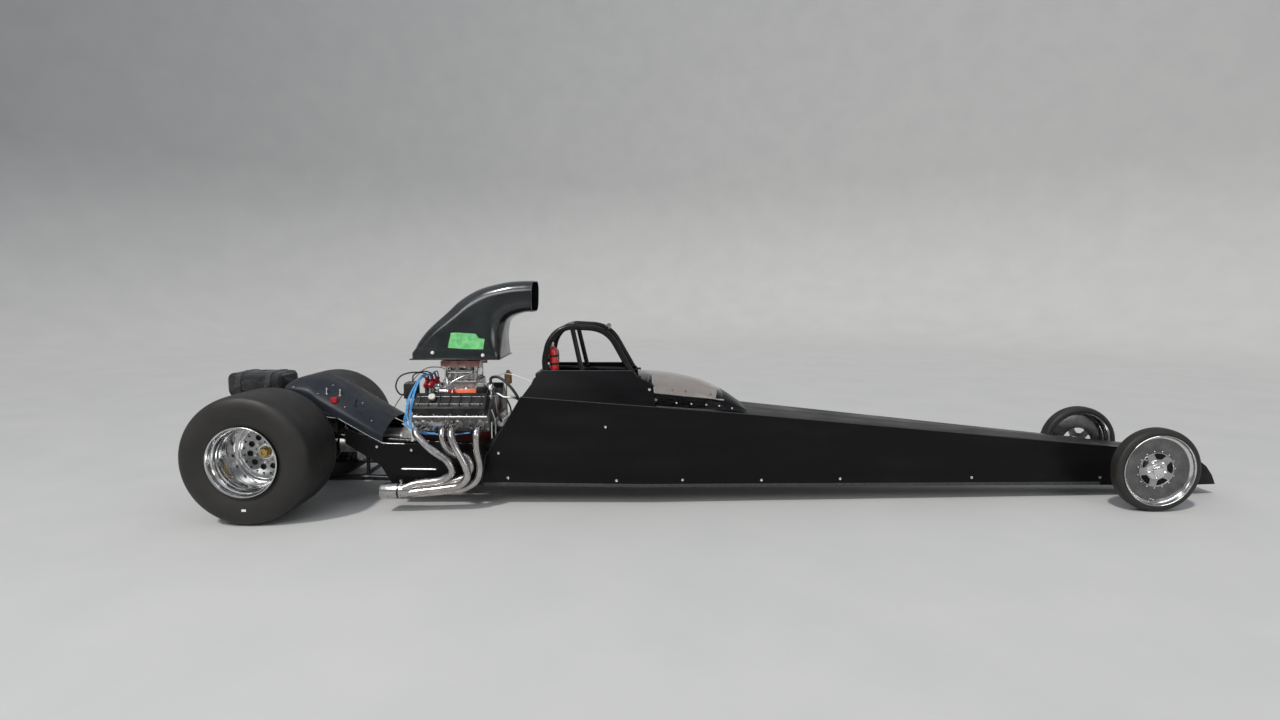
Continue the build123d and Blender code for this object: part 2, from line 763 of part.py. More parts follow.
def rear_wheel():
    """The wide rim: rolled lips, stepped outer barrel, deep dish and a holed centre disc."""
    half = rear_rim_half_width
    disc = -half + rear_disc_inset
    lip, seat, thick = rear_rim_lip_radius, rear_rim_seat_radius, rear_disc_half_thickness
    points = (
        (-half, lip), (-half, seat - 7), (-half + 48, seat - 7), (-half + 48, seat - 22), (disc - thick, seat - 22),
        (disc - thick, 0), (disc + thick, 0), (disc + thick, seat - 8), (half, seat - 8), (half, lip),
    )
    wheel = turned(points, 0, -rear_track_half, rear_tyre_radius)
    wheel = wheel - rod((0, -rear_track_half + disc - 20, rear_tyre_radius),
                        (0, -rear_track_half + disc + 20, rear_tyre_radius), axle_shaft_radius + 0.02)
    for i in range(rear_hole_count):
        angle = radians(360 / rear_hole_count * (i + 0.25))
        x = rear_hole_circle * cos(angle)
        z = rear_tyre_radius + rear_hole_circle * sin(angle)
        wheel = wheel - rod((x, -rear_track_half + disc - 20, z), (x, -rear_track_half + disc + 20, z), rear_hole_radius)
    return wheel


def tyre(radius, half, seat, tread_half, shoulder, y):
    """A slick tyre seated on its rim: flat tread, sloping shoulders and upright sidewalls."""
    points = (
        (-half, seat + seam), (-half, radius - shoulder), (-tread_half, radius), (tread_half, radius),
        (half, radius - shoulder), (half, seat + seam),
    )
    return turned(points, 0, y, radius)


# Front axle, steering and wheels

def front_axle():
    """The straight tube axle with a kingpin boss at each end."""
    h = front_tyre_radius
    beam = rod((wheelbase, 8 - kingpin_half_width, h), (wheelbase, kingpin_half_width - 8, h), front_axle_radius)
    bosses = [rod((wheelbase, side * kingpin_half_width, h - 26), (wheelbase, side * kingpin_half_width, h + 26),
                  kingpin_boss_radius) for side in (-1, 1)]
    bores = [rod((wheelbase, side * kingpin_half_width, h - 60), (wheelbase, side * kingpin_half_width, h + 60),
                 kingpin_radius + running_clearance) for side in (-1, 1)]
    shape = fuse_all([beam, *bosses])
    for bore in bores:
        shape = shape - bore
    return shape


def front_knuckle():
    """Fork and kingpin around the boss, spindle outwards, steering arm forwards."""
    h = front_tyre_radius
    y = -kingpin_half_width
    pin = rod((wheelbase, y, h - 40), (wheelbase, y, h + 40), kingpin_radius)
    ears = [box((wheelbase - 17, wheelbase + 17), (y - 34, y + 17), (low, high))
            for low, high in ((h - 40, h - 27), (h + 27, h + 40))]
    web = box((wheelbase - 17, wheelbase + 17), (y - 36, y - 28), (h - 40, h + 40))
    spindle = rod((wheelbase, y - 30, h), (wheelbase, -front_track_half - 38, h), spindle_radius)
    arm = box((wheelbase, wheelbase + steer_arm_length), (y - 8, y + 8), (h - 50, h - 40))
    eye = rod((wheelbase + steer_arm_length, y, h - 50), (wheelbase + steer_arm_length, y, h - 40), 14)
    return fuse_all([pin, *ears, web, spindle, arm, eye])


def tie_rod():
    """The rod across the car between the steering arms, with an eye at each end."""
    x = wheelbase + steer_arm_length
    y = kingpin_half_width
    bar = rod((x, -y + 4, tie_rod_height), (x, y - 4, tie_rod_height), tie_rod_radius)
    top = front_tyre_radius - 50 - seam
    eyes = [rod((x, side * y, tie_rod_height - tie_rod_radius - 1), (x, side * y, top), 12) for side in (-1, 1)]
    return fuse_all([bar, *eyes])


def front_wheel():
    """The thin spun wheel: two lips, a dished disc with windows and a hub."""
    half = front_rim_half_width
    lip = front_rim_lip_radius
    seat = lip - 12
    bore = spindle_radius + running_clearance
    points = (
        (-half, lip), (-half, seat - 8), (-20, seat - 8), (-10, 90), (-10, 36), (-34, 36),
        (-34, bore), (28, bore), (28, 36), (-4, 36), (-4, 90), (-14, seat - 8),
        (half, seat - 8), (half, lip),
    )
    wheel = turned(points, wheelbase, -front_track_half, front_tyre_radius)
    for i in range(5):
        angle = radians(72 * i + 18)
        x = wheelbase + 64 * cos(angle)
        z = front_tyre_radius + 64 * sin(angle)
        wheel = wheel - rod((x, -front_track_half - 40, z), (x, -front_track_half + 20, z), 15)
    return wheel


# Cockpit fittings

def seat():
    """A bucket seat bent from one sheet: base, back and low side wings."""
    face = ((2100, 205), (1740, 222), (1650, 290), (1700, 560), (1772, 862))
    under = tuple((x - 6, z - 6) for x, z in face)
    shell = side_profile(face + under[::-1], -200, 200)
    wing = under[:4] + ((1850, 520), (1880, 360), (2094, 300))
    wings = [side_profile(wing, -200, -194), side_profile(wing, 194, 200)]
    x, y, z = low_rail_point(seat_bar_station)
    bar = rod((x, y, z), (x, -y, z), bar_radius + seam)
    feet = [box((x - 13, x + 13), (side * 125 - 15, side * 125 + 15), (z, 208)) - bar for side in (-1, 1)]
    feet = [max(foot.solids(), key=lambda solid: solid.position.Z) for foot in feet]
    return fuse_all([shell, *wings, *feet])


def head_rest():
    front = cage_bar_station + bar_radius + seam
    return box((front, front + 50), (-95, 95), (890, 1020))


def dash_panel(notches):
    """The instrument board across the cockpit, on a tab to each upper rail."""
    plate = side_profile(((2392, 640), (2398, 640), (2380, 800), (2374, 800)), -232, 232)
    plate = plate + side_profile(((2392, 640), (2398, 640), (2396.5, 653), (2390.5, 653)), -252, 252)
    plate = plate - rod((2300.5, 0, 694.9), (2500, 0, 655), 14 + seam)
    return coped(plate, [*notches, *[mirrored(notch) for notch in notches]])


def steering_wheel():
    """The butterfly wheel: two grips joined by a bar through the hub."""
    grips = []
    for side in (-1, 1):
        grips.append(tube_run(((2275, side * 70, 700), (2262, side * 125, 705), (2252, side * 130, 760),
                               (2242, side * 100, 800)), 11))
    bar = rod((2275, -75, 700), (2275, 75, 700), 11)
    hub = rod((2262, 0, 703), (2300, 0, 695), 26)
    return fuse_all([bar, hub, *grips])


def steering_column():
    return rod((2300.5, 0, 694.9), (2500, 0, 655), 14)


def fire_bottle():
    """A pressure bottle clamped upright to the cage's rear cross bar."""
    body = rod((1812, -162, 890), (1800, -162, 1050), 30)
    neck = rod((1800, -162, 1050), (1797, -162, 1080), 13)
    bar = rod((cage_bar_station, -cage_base_half_width, cage_bar_height),
              (cage_bar_station, cage_base_half_width, cage_bar_height), bar_radius + seam)
    bracket = box((cage_bar_station, 1800), (-176, -148), (cage_bar_height - 14, cage_bar_height + 14)) - bar
    return body + neck + max(bracket.solids(), key=lambda solid: solid.position.X)


def parachute_pack():
    """The fabric pack behind the deck."""
    pack = box((tail_end_station, -30), (-140, 140), (700, 868))
    return chamfer(pack.edges(), 24)


def parachute_mount():
    """The tray under the pack, on two tubes from the rear crossmember."""
    tray = box((-400, -40), (-120, 120), (694, 699.7))
    bar = rod((tail_bar_station, -200, tail_rail_high), (tail_bar_station, 200, tail_rail_high),
              bar_radius + seam / 2)
    legs = [coped(rod((tail_bar_station, side * 100, tail_rail_high), (-230, side * 100, 692), brace_radius - 2), [bar])
            for side in (-1, 1)]
    return fuse_all([tray, *legs]) - box((-400, 0), (-200, 200), (699.7, 800))


# Build

def build_body(notches):
    save_sides("side_panel", side_panel())
    save_sides("upper_panel", upper_panel())
    save("hood_panel", hood_panel())
    save("cowl_panel", cowl_panel())
    save("belly_pan", belly_pan())
    save("nose_cone", nose_cone())
    save("windscreen", windscreen())
    tubes = [*notches, cage_leg(cage_tube_radius)]
    save("firewall", firewall([*tubes, *[mirrored(tube) for tube in tubes]]))
    save("tail_deck", tail_deck())
    save_sides("tail_panel", tail_panel())


def build_frame(notches):
    save_sides("frame_side", frame_side(notches))
    save("crossmembers", crossmembers(notches))
    save("motor_plates", motor_plates(notches))
    save("roll_cage", roll_cage(notches))


def build_engine():
    save("engine_block", engine_block())
    save_sides("cylinder_head", cylinder_head())
    save_sides("valve_cover", valve_cover())
    save("intake_manifold", intake_manifold())
    save("carburettor", carburettor())
    save("scoop", scoop())
    save("scoop_tray", scoop_tray())
    save_sides("header", header())
    save("oil_pan", oil_pan())
    save("transmission", transmission())
    save("front_drive", front_drive())
    save("distributor", distributor())


def build_running_gear():
    save("axle_housing", axle_housing())
    save("axle_shaft", axle_shaft())
    save("brake_calipers", brake_calipers())
    save_sides("rear_wheel", rear_wheel())
    save_sides("rear_tyre", tyre(rear_tyre_radius, rear_tyre_half_width, rear_rim_lip_radius, 176, 46,
                                 -rear_track_half))
    save("front_axle", front_axle())
    save_sides("front_knuckle", front_knuckle())
    save("tie_rod", tie_rod())
    save_sides("front_wheel", front_wheel())
    front_tyre = tyre(front_tyre_radius, front_tyre_half_width, front_rim_lip_radius, 30, 12, -front_track_half)
    save_sides("front_tyre", Pos(wheelbase, 0, 0) * front_tyre)


def build_cockpit(notches):
    save("seat", seat())
    save("head_rest", head_rest())
    save("dash_panel", dash_panel(notches))
    save("steering_wheel", steering_wheel())
    save("steering_column", steering_column())
    save("fire_bottle", fire_bottle())
    save("parachute_pack", parachute_pack())
    save("parachute_mount", parachute_mount())


os.makedirs("parts", exist_ok=True)
rail_notches = rails(rail_radius + seam / 2, 0)
build_body(rail_notches)
build_frame(rail_notches)
build_engine()
build_running_gear()
build_cockpit(rail_notches)
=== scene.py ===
"""Looks of a rear-engined drag racing car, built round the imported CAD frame."""

import json
from math import cos, hypot, pi, radians, sin

import bmesh
import bpy
from mathutils import Matrix, Vector
from mathutils.bvhtree import BVHTree


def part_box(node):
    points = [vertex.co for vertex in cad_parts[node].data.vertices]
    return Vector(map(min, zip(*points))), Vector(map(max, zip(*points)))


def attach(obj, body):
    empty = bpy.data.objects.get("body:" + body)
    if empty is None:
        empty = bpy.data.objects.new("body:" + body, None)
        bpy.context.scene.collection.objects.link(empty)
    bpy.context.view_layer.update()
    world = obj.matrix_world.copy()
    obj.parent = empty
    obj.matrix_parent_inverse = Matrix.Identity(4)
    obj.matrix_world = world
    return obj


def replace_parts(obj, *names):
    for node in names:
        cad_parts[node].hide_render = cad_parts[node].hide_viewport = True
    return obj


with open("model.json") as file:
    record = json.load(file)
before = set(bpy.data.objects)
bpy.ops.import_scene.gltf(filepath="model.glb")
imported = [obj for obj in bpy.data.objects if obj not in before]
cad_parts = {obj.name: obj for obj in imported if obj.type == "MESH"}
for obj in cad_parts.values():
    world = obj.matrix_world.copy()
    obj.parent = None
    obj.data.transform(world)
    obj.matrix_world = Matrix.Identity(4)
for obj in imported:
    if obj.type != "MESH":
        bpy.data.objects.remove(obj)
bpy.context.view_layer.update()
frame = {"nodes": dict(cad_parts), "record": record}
nodes = frame["nodes"]

# Places are given as a station forward of the rear axle, a width (right is negative) and a height,
# all in metres. The axle's own place comes from the frame.
wheel_low, wheel_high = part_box("rear_wheel_right")
AXLE_X = (wheel_low.x + wheel_high.x) / 2
WHEELBASE = 5.715
REAR_RADIUS = 0.402
FRONT_RADIUS = 0.273
REAR_TRACK = 0.4805
FRONT_TRACK = 0.381
CRANK = 0.355
SIDES = (("right", -1), ("left", 1))

# Edges that turn by more than this are shaded as edges.
SHARP_ANGLE = radians(35)
# The radius at which turned forms close on their axis.
TIP = 0.0001
# Points nearer together than this are taken as one.
MERGE = 1e-5


def at(station, y, z):
    return Vector((AXLE_X + station, y, z))


# Materials

materials = {}


def shader_of(material):
    return material.node_tree.nodes["Principled BSDF"]


def noise(tree, scale, detail=4.0, stretch=(1, 1, 1), rough=0.55):
    """Noise in the piece's own metres, longer along an axis whose stretch is small."""
    place = tree.nodes.new("ShaderNodeTexCoord")
    mapping = tree.nodes.new("ShaderNodeMapping")
    mapping.inputs["Scale"].default_value = stretch
    texture = tree.nodes.new("ShaderNodeTexNoise")
    texture.inputs["Scale"].default_value = scale
    texture.inputs["Detail"].default_value = detail
    texture.inputs["Roughness"].default_value = rough
    tree.links.new(place.outputs["Object"], mapping.inputs["Vector"])
    tree.links.new(mapping.outputs["Vector"], texture.inputs["Vector"])
    return texture.outputs["Fac"]


def ramp(tree, value, stops):
    """A colour ramp from (position, colour) stops."""
    node = tree.nodes.new("ShaderNodeValToRGB")
    ends = node.color_ramp.elements
    while len(ends) < len(stops):
        ends.new(0.5)
    for element, (position, colour) in zip(ends, stops):
        element.position = position
        element.color = (*colour, 1)
    tree.links.new(value, node.inputs["Fac"])
    return node.outputs["Color"]


def spread(tree, value, low, high):
    """Maps the middle of a noise to a range of numbers."""
    node = tree.nodes.new("ShaderNodeMapRange")
    node.inputs["From Min"].default_value = 0.3
    node.inputs["From Max"].default_value = 0.7
    node.inputs["To Min"].default_value = low
    node.inputs["To Max"].default_value = high
    tree.links.new(value, node.inputs["Value"])
    return node.outputs["Result"]


def bump(tree, shader, value, strength, distance):
    node = tree.nodes.new("ShaderNodeBump")
    node.inputs["Strength"].default_value = strength
    node.inputs["Distance"].default_value = distance
    tree.links.new(value, node.inputs["Height"])
    tree.links.new(node.outputs["Normal"], shader.inputs["Normal"])


def finish(name, colours, rough, metal=0.0, scale=30.0, stretch=(1, 1, 1), grain=None, **constants):
    """A material whose colour and roughness wander with noise, and a fine grain in its bump.

    A colour given as one number is a grey.
    """
    material = bpy.data.materials.new(name)
    materials[name] = material
    material.use_nodes = True
    tree = material.node_tree
    shader = shader_of(material)
    shader.inputs["Metallic"].default_value = metal
    for socket, value in constants.items():
        shader.inputs[socket.replace("_", " ")].default_value = value
    pattern = noise(tree, scale, 5.0, stretch)
    step = 0.4 / (len(colours) - 1)
    stops = [(0.3 + step * i, colour if isinstance(colour, tuple) else (colour,) * 3)
             for i, colour in enumerate(colours)]
    tree.links.new(ramp(tree, pattern, stops), shader.inputs["Base Color"])
    tree.links.new(spread(tree, noise(tree, scale * 2.3, 3.0, stretch), *rough), shader.inputs["Roughness"])
    if grain:
        grain_scale, strength, distance = grain
        bump(tree, shader, noise(tree, grain_scale, 2.0, stretch), strength, distance)
    return material


def woven(name, colours, pitch, depth):
    """Cloth: two crossed waves for the weave, with a soft sheen."""
    material = finish(name, colours, (0.75, 0.95), scale=14.0, Sheen_Weight=0.25, Sheen_Roughness=0.4)
    tree = material.node_tree
    place = tree.nodes.new("ShaderNodeTexCoord")
    waves = []
    for direction in ("X", "Z"):
        wave = tree.nodes.new("ShaderNodeTexWave")
        wave.bands_direction = direction
        wave.inputs["Scale"].default_value = 0.5 / pitch
        wave.inputs["Distortion"].default_value = 0.6
        tree.links.new(place.outputs["Object"], wave.inputs["Vector"])
        waves.append(wave.outputs["Fac"])
    crossed = tree.nodes.new("ShaderNodeMath")
    crossed.operation = "MULTIPLY"
    tree.links.new(waves[0], crossed.inputs[0])
    tree.links.new(waves[1], crossed.inputs[1])
    bump(tree, shader_of(material), crossed.outputs["Value"], 0.5, depth)


def make_materials():
    finish("black_paint", [(0.0026, 0.0026, 0.0032), (0.004, 0.004, 0.0048), (0.007, 0.007, 0.008)],
           (0.28, 0.44), scale=3.0, stretch=(0.5, 1, 2.2), grain=(900, 0.04, 0.0004),
           Specular_IOR_Level=0.14, Coat_Weight=0.04, Coat_Roughness=0.2)
    finish("black_satin", [(0.01, 0.013, 0.018), (0.016, 0.019, 0.026), (0.025, 0.029, 0.036)],
           (0.34, 0.52), scale=5.0, grain=(700, 0.06, 0.0004), Specular_IOR_Level=0.3)
    finish("frame_paint", [(0.004, 0.004, 0.005), (0.009, 0.009, 0.01)], (0.24, 0.38), scale=25.0,
           grain=(400, 0.05, 0.0003), Specular_IOR_Level=0.22, Coat_Weight=0.08, Coat_Roughness=0.12)
    finish("gel_coat", [(0.005, 0.007, 0.0085), (0.008, 0.0105, 0.012), (0.013, 0.0165, 0.018)],
           (0.18, 0.3), scale=4.0, grain=(160, 0.03, 0.0006), Coat_Weight=0.5, Coat_Roughness=0.08)
    finish("clear_sheet", [(0.7, 0.66, 0.64), (0.78, 0.75, 0.73)], (0.02, 0.05), scale=6.0,
           Transmission_Weight=1.0, IOR=1.3)
    finish("polished", [0.66, 0.74, 0.8], (0.06, 0.16), metal=1.0, scale=12.0, grain=(260, 0.03, 0.0004))
    finish("spun", [0.36, 0.42, 0.5], (0.22, 0.36), metal=1.0, scale=12.0, grain=(420, 0.06, 0.0003))
    finish("spun_grey", [0.13, 0.17, 0.22], (0.24, 0.38), metal=1.0, scale=12.0, grain=(420, 0.06, 0.0003))
    finish("dark_steel", [0.05, 0.09, 0.14], (0.3, 0.45), metal=1.0, scale=40.0, grain=(400, 0.1, 0.0003))
    finish("header_steel", [(0.4, 0.37, 0.355), (0.5, 0.48, 0.47), (0.61, 0.6, 0.59)], (0.15, 0.32),
           metal=1.0, scale=16.0, grain=(300, 0.1, 0.0005))
    finish("cast_aluminium", [(0.34, 0.33, 0.32), (0.5, 0.49, 0.48), (0.62, 0.61, 0.6)], (0.35, 0.6),
           metal=0.9, scale=30.0, grain=(420, 0.45, 0.0008))
    # The cast aluminium again, darker: painted shade for the heads, which stand in shadow under the covers.
    finish("dark_cast", [(0.13, 0.127, 0.12), (0.2, 0.196, 0.188), (0.3, 0.295, 0.285)], (0.4, 0.62),
           metal=0.9, scale=30.0, grain=(420, 0.45, 0.0008))
    finish("machined", [0.6, 0.7, 0.78], (0.18, 0.34), metal=1.0, scale=40.0, grain=(500, 0.1, 0.0003))
    finish("block_red", [(0.06, 0.009, 0.006), (0.12, 0.015, 0.01), (0.19, 0.035, 0.022)], (0.35, 0.6),
           scale=18.0, grain=(260, 0.5, 0.001))
    finish("pan_black", [(0.005, 0.005, 0.005), (0.011, 0.011, 0.011), (0.024, 0.023, 0.021)], (0.28, 0.5),
           scale=20.0, grain=(300, 0.2, 0.0005), Specular_IOR_Level=0.25)
    finish("rubber", [(0.016, 0.0155, 0.0145), (0.021, 0.02, 0.0185), (0.028, 0.0265, 0.0245)], (0.44, 0.6),
           scale=4.0, grain=(300, 0.2, 0.0004), Specular_IOR_Level=0.35)
    finish("seat_black", [(0.014, 0.014, 0.015), (0.025, 0.025, 0.027)], (0.3, 0.48), scale=20.0,
           grain=(300, 0.08, 0.0004))
    woven("pad", [(0.016, 0.016, 0.017), (0.03, 0.03, 0.031), (0.046, 0.045, 0.046)], 0.0022, 0.0006)
    woven("webbing", [(0.022, 0.022, 0.024), (0.044, 0.044, 0.046)], 0.003, 0.0008)
    woven("nylon", [(0.009, 0.0095, 0.011), (0.015, 0.016, 0.018), (0.023, 0.0235, 0.026)], 0.0026, 0.0007)
    finish("edge_grey", [(0.024, 0.024, 0.027), (0.036, 0.036, 0.039), (0.052, 0.051, 0.052)], (0.3, 0.5),
           scale=40.0, grain=(500, 0.1, 0.0003))
    finish("red_plastic", [(0.38, 0.01, 0.02), (0.52, 0.016, 0.028)], (0.22, 0.4), scale=30.0,
           grain=(300, 0.08, 0.0004))
    finish("red_paint", [(0.42, 0.01, 0.012), (0.56, 0.018, 0.018), (0.64, 0.04, 0.03)], (0.16, 0.34),
           scale=22.0, grain=(500, 0.04, 0.0003), Coat_Weight=0.5)
    finish("blue_lead", [(0.04, 0.22, 0.52), (0.07, 0.32, 0.66), (0.22, 0.5, 0.8)], (0.35, 0.55),
           scale=60.0, grain=(900, 0.15, 0.0004))
    finish("steel", [0.38, 0.52, 0.6], (0.25, 0.45), metal=1.0, scale=30.0, grain=(400, 0.12, 0.0004))
    finish("brass", [(0.42, 0.3, 0.1), (0.62, 0.47, 0.2)], (0.18, 0.36), metal=1.0, scale=30.0,
           grain=(400, 0.1, 0.0004))
    finish("orange", [(0.6, 0.07, 0.008), (0.78, 0.12, 0.015)], (0.3, 0.48), scale=30.0,
           grain=(300, 0.1, 0.0004))
    finish("white", [(0.72, 0.72, 0.7), (0.86, 0.86, 0.84)], (0.4, 0.6), scale=40.0,
           grain=(300, 0.1, 0.0004))
    finish("green_patch", [(0.1, 0.42, 0.13), (0.16, 0.55, 0.2), (0.26, 0.66, 0.3)], (0.3, 0.45),
           scale=30.0, grain=(500, 0.06, 0.0003))
    finish("dark", [(0.004, 0.004, 0.004), (0.01, 0.01, 0.01)], (0.55, 0.8), scale=20.0,
           grain=(300, 0.1, 0.0004))
    finish("hose", [(0.01, 0.01, 0.011), (0.022, 0.022, 0.023)], (0.4, 0.6), scale=60.0,
           grain=(700, 0.5, 0.0006))
    finish("braid", [0.3, 0.55, 0.75], (0.25, 0.45), metal=1.0, scale=700.0, grain=(1100, 0.6, 0.0006))
    finish("copper", [(0.22, 0.1, 0.09), (0.34, 0.17, 0.15), (0.46, 0.27, 0.24)], (0.3, 0.5), metal=0.6,
           scale=22.0, grain=(400, 0.2, 0.0005))
    finish("tan", [(0.3, 0.17, 0.06), (0.46, 0.28, 0.11)], (0.3, 0.5), scale=30.0, grain=(300, 0.1, 0.0004))


make_materials()
body_of = {node: body for body, members in frame["record"]["behaviour"]["bodies"].items()
           for node in members}
slot_of = {row["node"]: row["material_slot"] for row in frame["record"]["subparts"]}
for name, node in nodes.items():
    node.data.materials.clear()
    node.data.materials.append(materials[slot_of[name]])
record_slots = set(slot_of.values())


# Mesh helpers

def mesh_of(name, shape, merge=None):
    """A mesh of a shape with its normals outwards; points nearer together than merge become one."""
    mesh = bpy.data.meshes.new(name)
    mesh.from_pydata([tuple(v) for v in shape.verts], [], shape.faces)
    if not merge:
        mesh.validate()
    work = bmesh.new()
    work.from_mesh(mesh)
    if merge:
        bmesh.ops.remove_doubles(work, verts=work.verts, dist=merge)
    bmesh.ops.recalc_face_normals(work, faces=work.faces)
    work.to_mesh(mesh)
    work.free()
    return mesh


def placed(name, data):
    """A new object in the scene."""
    item = bpy.data.objects.new(name, data)
    bpy.context.scene.collection.objects.link(item)
    return item


def evaluated(item):
    """A mesh of an item with its modifiers applied."""
    bpy.context.view_layer.update()
    return bpy.data.meshes.new_from_object(item.evaluated_get(bpy.context.evaluated_depsgraph_get()))


def wear(name, mesh, look, body="chassis", slot=None):
    """A piece that rides on a body and wears a material."""
    item = placed(name, mesh)
    mesh.materials.clear()
    mesh.materials.append(materials[look])
    mesh.shade_smooth()
    mesh.set_sharp_from_angle(angle=SHARP_ANGLE)
    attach(item, body)
    slot = slot or (look if look in record_slots else None)
    return item


def circle(centre, radius, normal, across, sides):
    """Points round a circle, from its normal towards across."""
    return [centre + radius * (cos(2 * pi * k / sides) * normal + sin(2 * pi * k / sides) * across)
            for k in range(sides)]


def spoke(radius, angle, y=0.0):
    """A place on a wheel as seen from its centre, at an angle in degrees."""
    a = radians(angle)
    return Vector((radius * cos(a), y, radius * sin(a)))


class Shape:
    """Vertices and faces gathered from many simple forms into one mesh."""

    def __init__(self):
        self.verts = []
        self.faces = []

    def add(self, verts, faces):
        start = len(self.verts)
        self.verts += [Vector(v) for v in verts]
        self.faces += [tuple(start + i for i in face) for face in faces]
        return self

    def rings(self, rings, close_ends=(True, True), closed=False):
        """Joins rings of equal counts into a skin."""
        count = len(rings[0])
        verts = [point for ring in rings for point in ring]
        faces = []
        spans = len(rings) if closed else len(rings) - 1
        for i in range(spans):
            a, b = i * count, ((i + 1) % len(rings)) * count
            for j in range(count):
                k = (j + 1) % count
                faces.append((a + j, a + k, b + k, b + j))
        if close_ends[0] and not closed:
            faces.append(tuple(reversed(range(count))))
        if close_ends[1] and not closed:
            faces.append(tuple(range((len(rings) - 1) * count, len(rings) * count)))
        return self.add(verts, faces)

    def tube(self, points, radius, sides=14, caps=True):
        """A round tube along points; the radius may be one value for each point."""
        points = [Vector(p) for p in points]
        sizes = radius if isinstance(radius, (list, tuple)) else [radius] * len(points)
        rings = []
        normal = None
        for i, point in enumerate(points):
            ahead = points[min(i + 1, len(points) - 1)]
            behind = points[max(i - 1, 0)]
            way = (ahead - behind).normalized()
            if normal is None:
                normal = way.orthogonal().normalized()
            normal = (normal - way * normal.dot(way)).normalized()
            rings.append(circle(point, sizes[i], normal, way.cross(normal), sides))
        return self.rings(rings, (caps, caps))

    def lathe(self, profile, centre, axis="Y", steps=96):
        """Turns a closed profile of (offset, radius) points about an axis through the centre."""
        order = {"X": (0, 1, 2), "Y": (1, 0, 2), "Z": (1, 2, 0)}[axis]
        centre = Vector(centre)
        rings = []
        for k in range(steps):
            a = 2 * pi * k / steps
            turned = [(offset, radius * cos(a), radius * sin(a)) for offset, radius in profile]
            rings.append([centre + Vector([point[i] for i in order]) for point in turned])
        return self.rings(rings, closed=True)

    def bar(self, start, end, radius, sides=20, bevel=0.0):
        """A straight round bar with its end edges eased by a small bevel."""
        start, end = Vector(start), Vector(end)
        way = (end - start).normalized()
        stops, sizes = [start, end], [radius, radius]
        if bevel:
            stops = [start, start + way * bevel, end - way * bevel, end]
            sizes = [radius - bevel, radius, radius, radius - bevel]
        normal = way.orthogonal().normalized()
        across = way.cross(normal)
        return self.rings([circle(p, r, normal, across, sides) for p, r in zip(stops, sizes)])

    def block(self, low, high, bevel, turn=None):
        """A box with bevelled edges, optionally turned by a matrix about its middle."""
        low, high = Vector(low), Vector(high)
        work = bmesh.new()
        bmesh.ops.create_cube(work, size=1.0)
        bmesh.ops.scale(work, vec=high - low, verts=work.verts)
        bmesh.ops.bevel(work, geom=list(work.edges), offset=bevel, segments=2, affect="EDGES", profile=0.6)
        if turn is not None:
            bmesh.ops.transform(work, matrix=turn, verts=work.verts)
        verts = [v.co + (high + low) / 2 for v in work.verts]
        work.verts.index_update()
        faces = [tuple(v.index for v in face.verts) for face in work.faces]
        work.free()
        return self.add(verts, faces)

    def make(self, name, look, body="chassis", slot=None):
        return wear(name, mesh_of(name, self), look, body, slot)


def rounded(points, share=0.45, steps=7):
    """A path whose corners are turned by arcs, as bent tube."""
    points = [Vector(p) for p in points]
    path = [points[0]]
    for before, corner, after in zip(points, points[1:], points[2:]):
        a, b = before - corner, after - corner
        reach = share * min(a.length, b.length)
        start, end = corner + a.normalized() * reach, corner + b.normalized() * reach
        for i in range(steps + 1):
            t = i / steps
            path.append(start.lerp(corner, t).lerp(corner.lerp(end, t), t))
    path.append(points[-1])
    return path


def curve_through(points, steps=8):
    """A smooth path through the points (Catmull-Rom)."""
    points = [Vector(p) for p in points]
    ends = [points[0] * 2 - points[1], *points, points[-1] * 2 - points[-2]]
    path = []
    for p0, p1, p2, p3 in zip(ends, ends[1:], ends[2:], ends[3:]):
        for i in range(steps):
            t = i / steps
            path.append(0.5 * ((2 * p1) + (p2 - p0) * t + (2 * p0 - 5 * p1 + 4 * p2 - p3) * t * t
                               + (3 * p1 - p0 - 3 * p2 + p3) * t ** 3))
    path.append(points[-1])
    return path


def smooth_profile(points, steps=5):
    """The same for (offset, radius) pairs."""
    return [(p.x, p.y) for p in curve_through([(a, b, 0) for a, b in points], steps)]


def blended_rows(rows, steps):
    """Rows of numbers with smooth rows between them."""
    flat = [list(row) for row in rows]
    ends = [[2 * a - b for a, b in zip(flat[0], flat[1])], *flat,
            [2 * a - b for a, b in zip(flat[-1], flat[-2])]]
    made = []
    for r0, r1, r2, r3 in zip(ends, ends[1:], ends[2:], ends[3:]):
        for i in range(steps):
            t = i / steps
            made.append([0.5 * (2 * b + (c - a) * t + (2 * a - 5 * b + 4 * c - d) * t * t
                                + (3 * b - a - 3 * c + d) * t ** 3) for a, b, c, d in zip(r0, r1, r2, r3)])
    made.append(flat[-1])
    return made


def rounded_corners(half_width, half_height, corner, count):
    """Points (across, up) round a rectangle whose corners are quarter circles."""
    points = []
    for side, top, first in ((1, 1, 0), (-1, 1, 90), (-1, -1, 180), (1, -1, 270)):
        for k in range(count):
            a = radians(first + 90 * k / (count - 1))
            points.append((side * (half_width - corner) + corner * cos(a),
                           top * (half_height - corner) + corner * sin(a)))
    return points


def between(line, x):
    """The value at x on a line of (x, value) points."""
    for (x0, y0), (x1, y1) in zip(line, line[1:]):
        if x <= x1:
            break
    return y0 + (y1 - y0) * (x - x0) / (x1 - x0)


def hexagon_bolt(shape, centre, way, size, height=None):
    """A six-sided bolt head on a washer, standing along a direction."""
    centre, way = Vector(centre), Vector(way).normalized()
    height = height or size * 0.7
    shape.bar(centre, centre + way * size * 0.18, size * 0.72, 16)
    shape.bar(centre + way * size * 0.18, centre + way * height, size * 0.55, 6)


def skin(outer, inner):
    """A thin shell between two nets of rings, open at both ends and closed round the rims."""
    shape = Shape().rings(outer, (False, False)).rings(inner, (False, False))
    count = len(outer[0])
    for k in (0, -1):
        shape.add([*outer[k], *inner[k]],
                  [(j, (j + 1) % count, count + (j + 1) % count, count + j) for j in range(count)])
    return shape


# Tyres and wheels

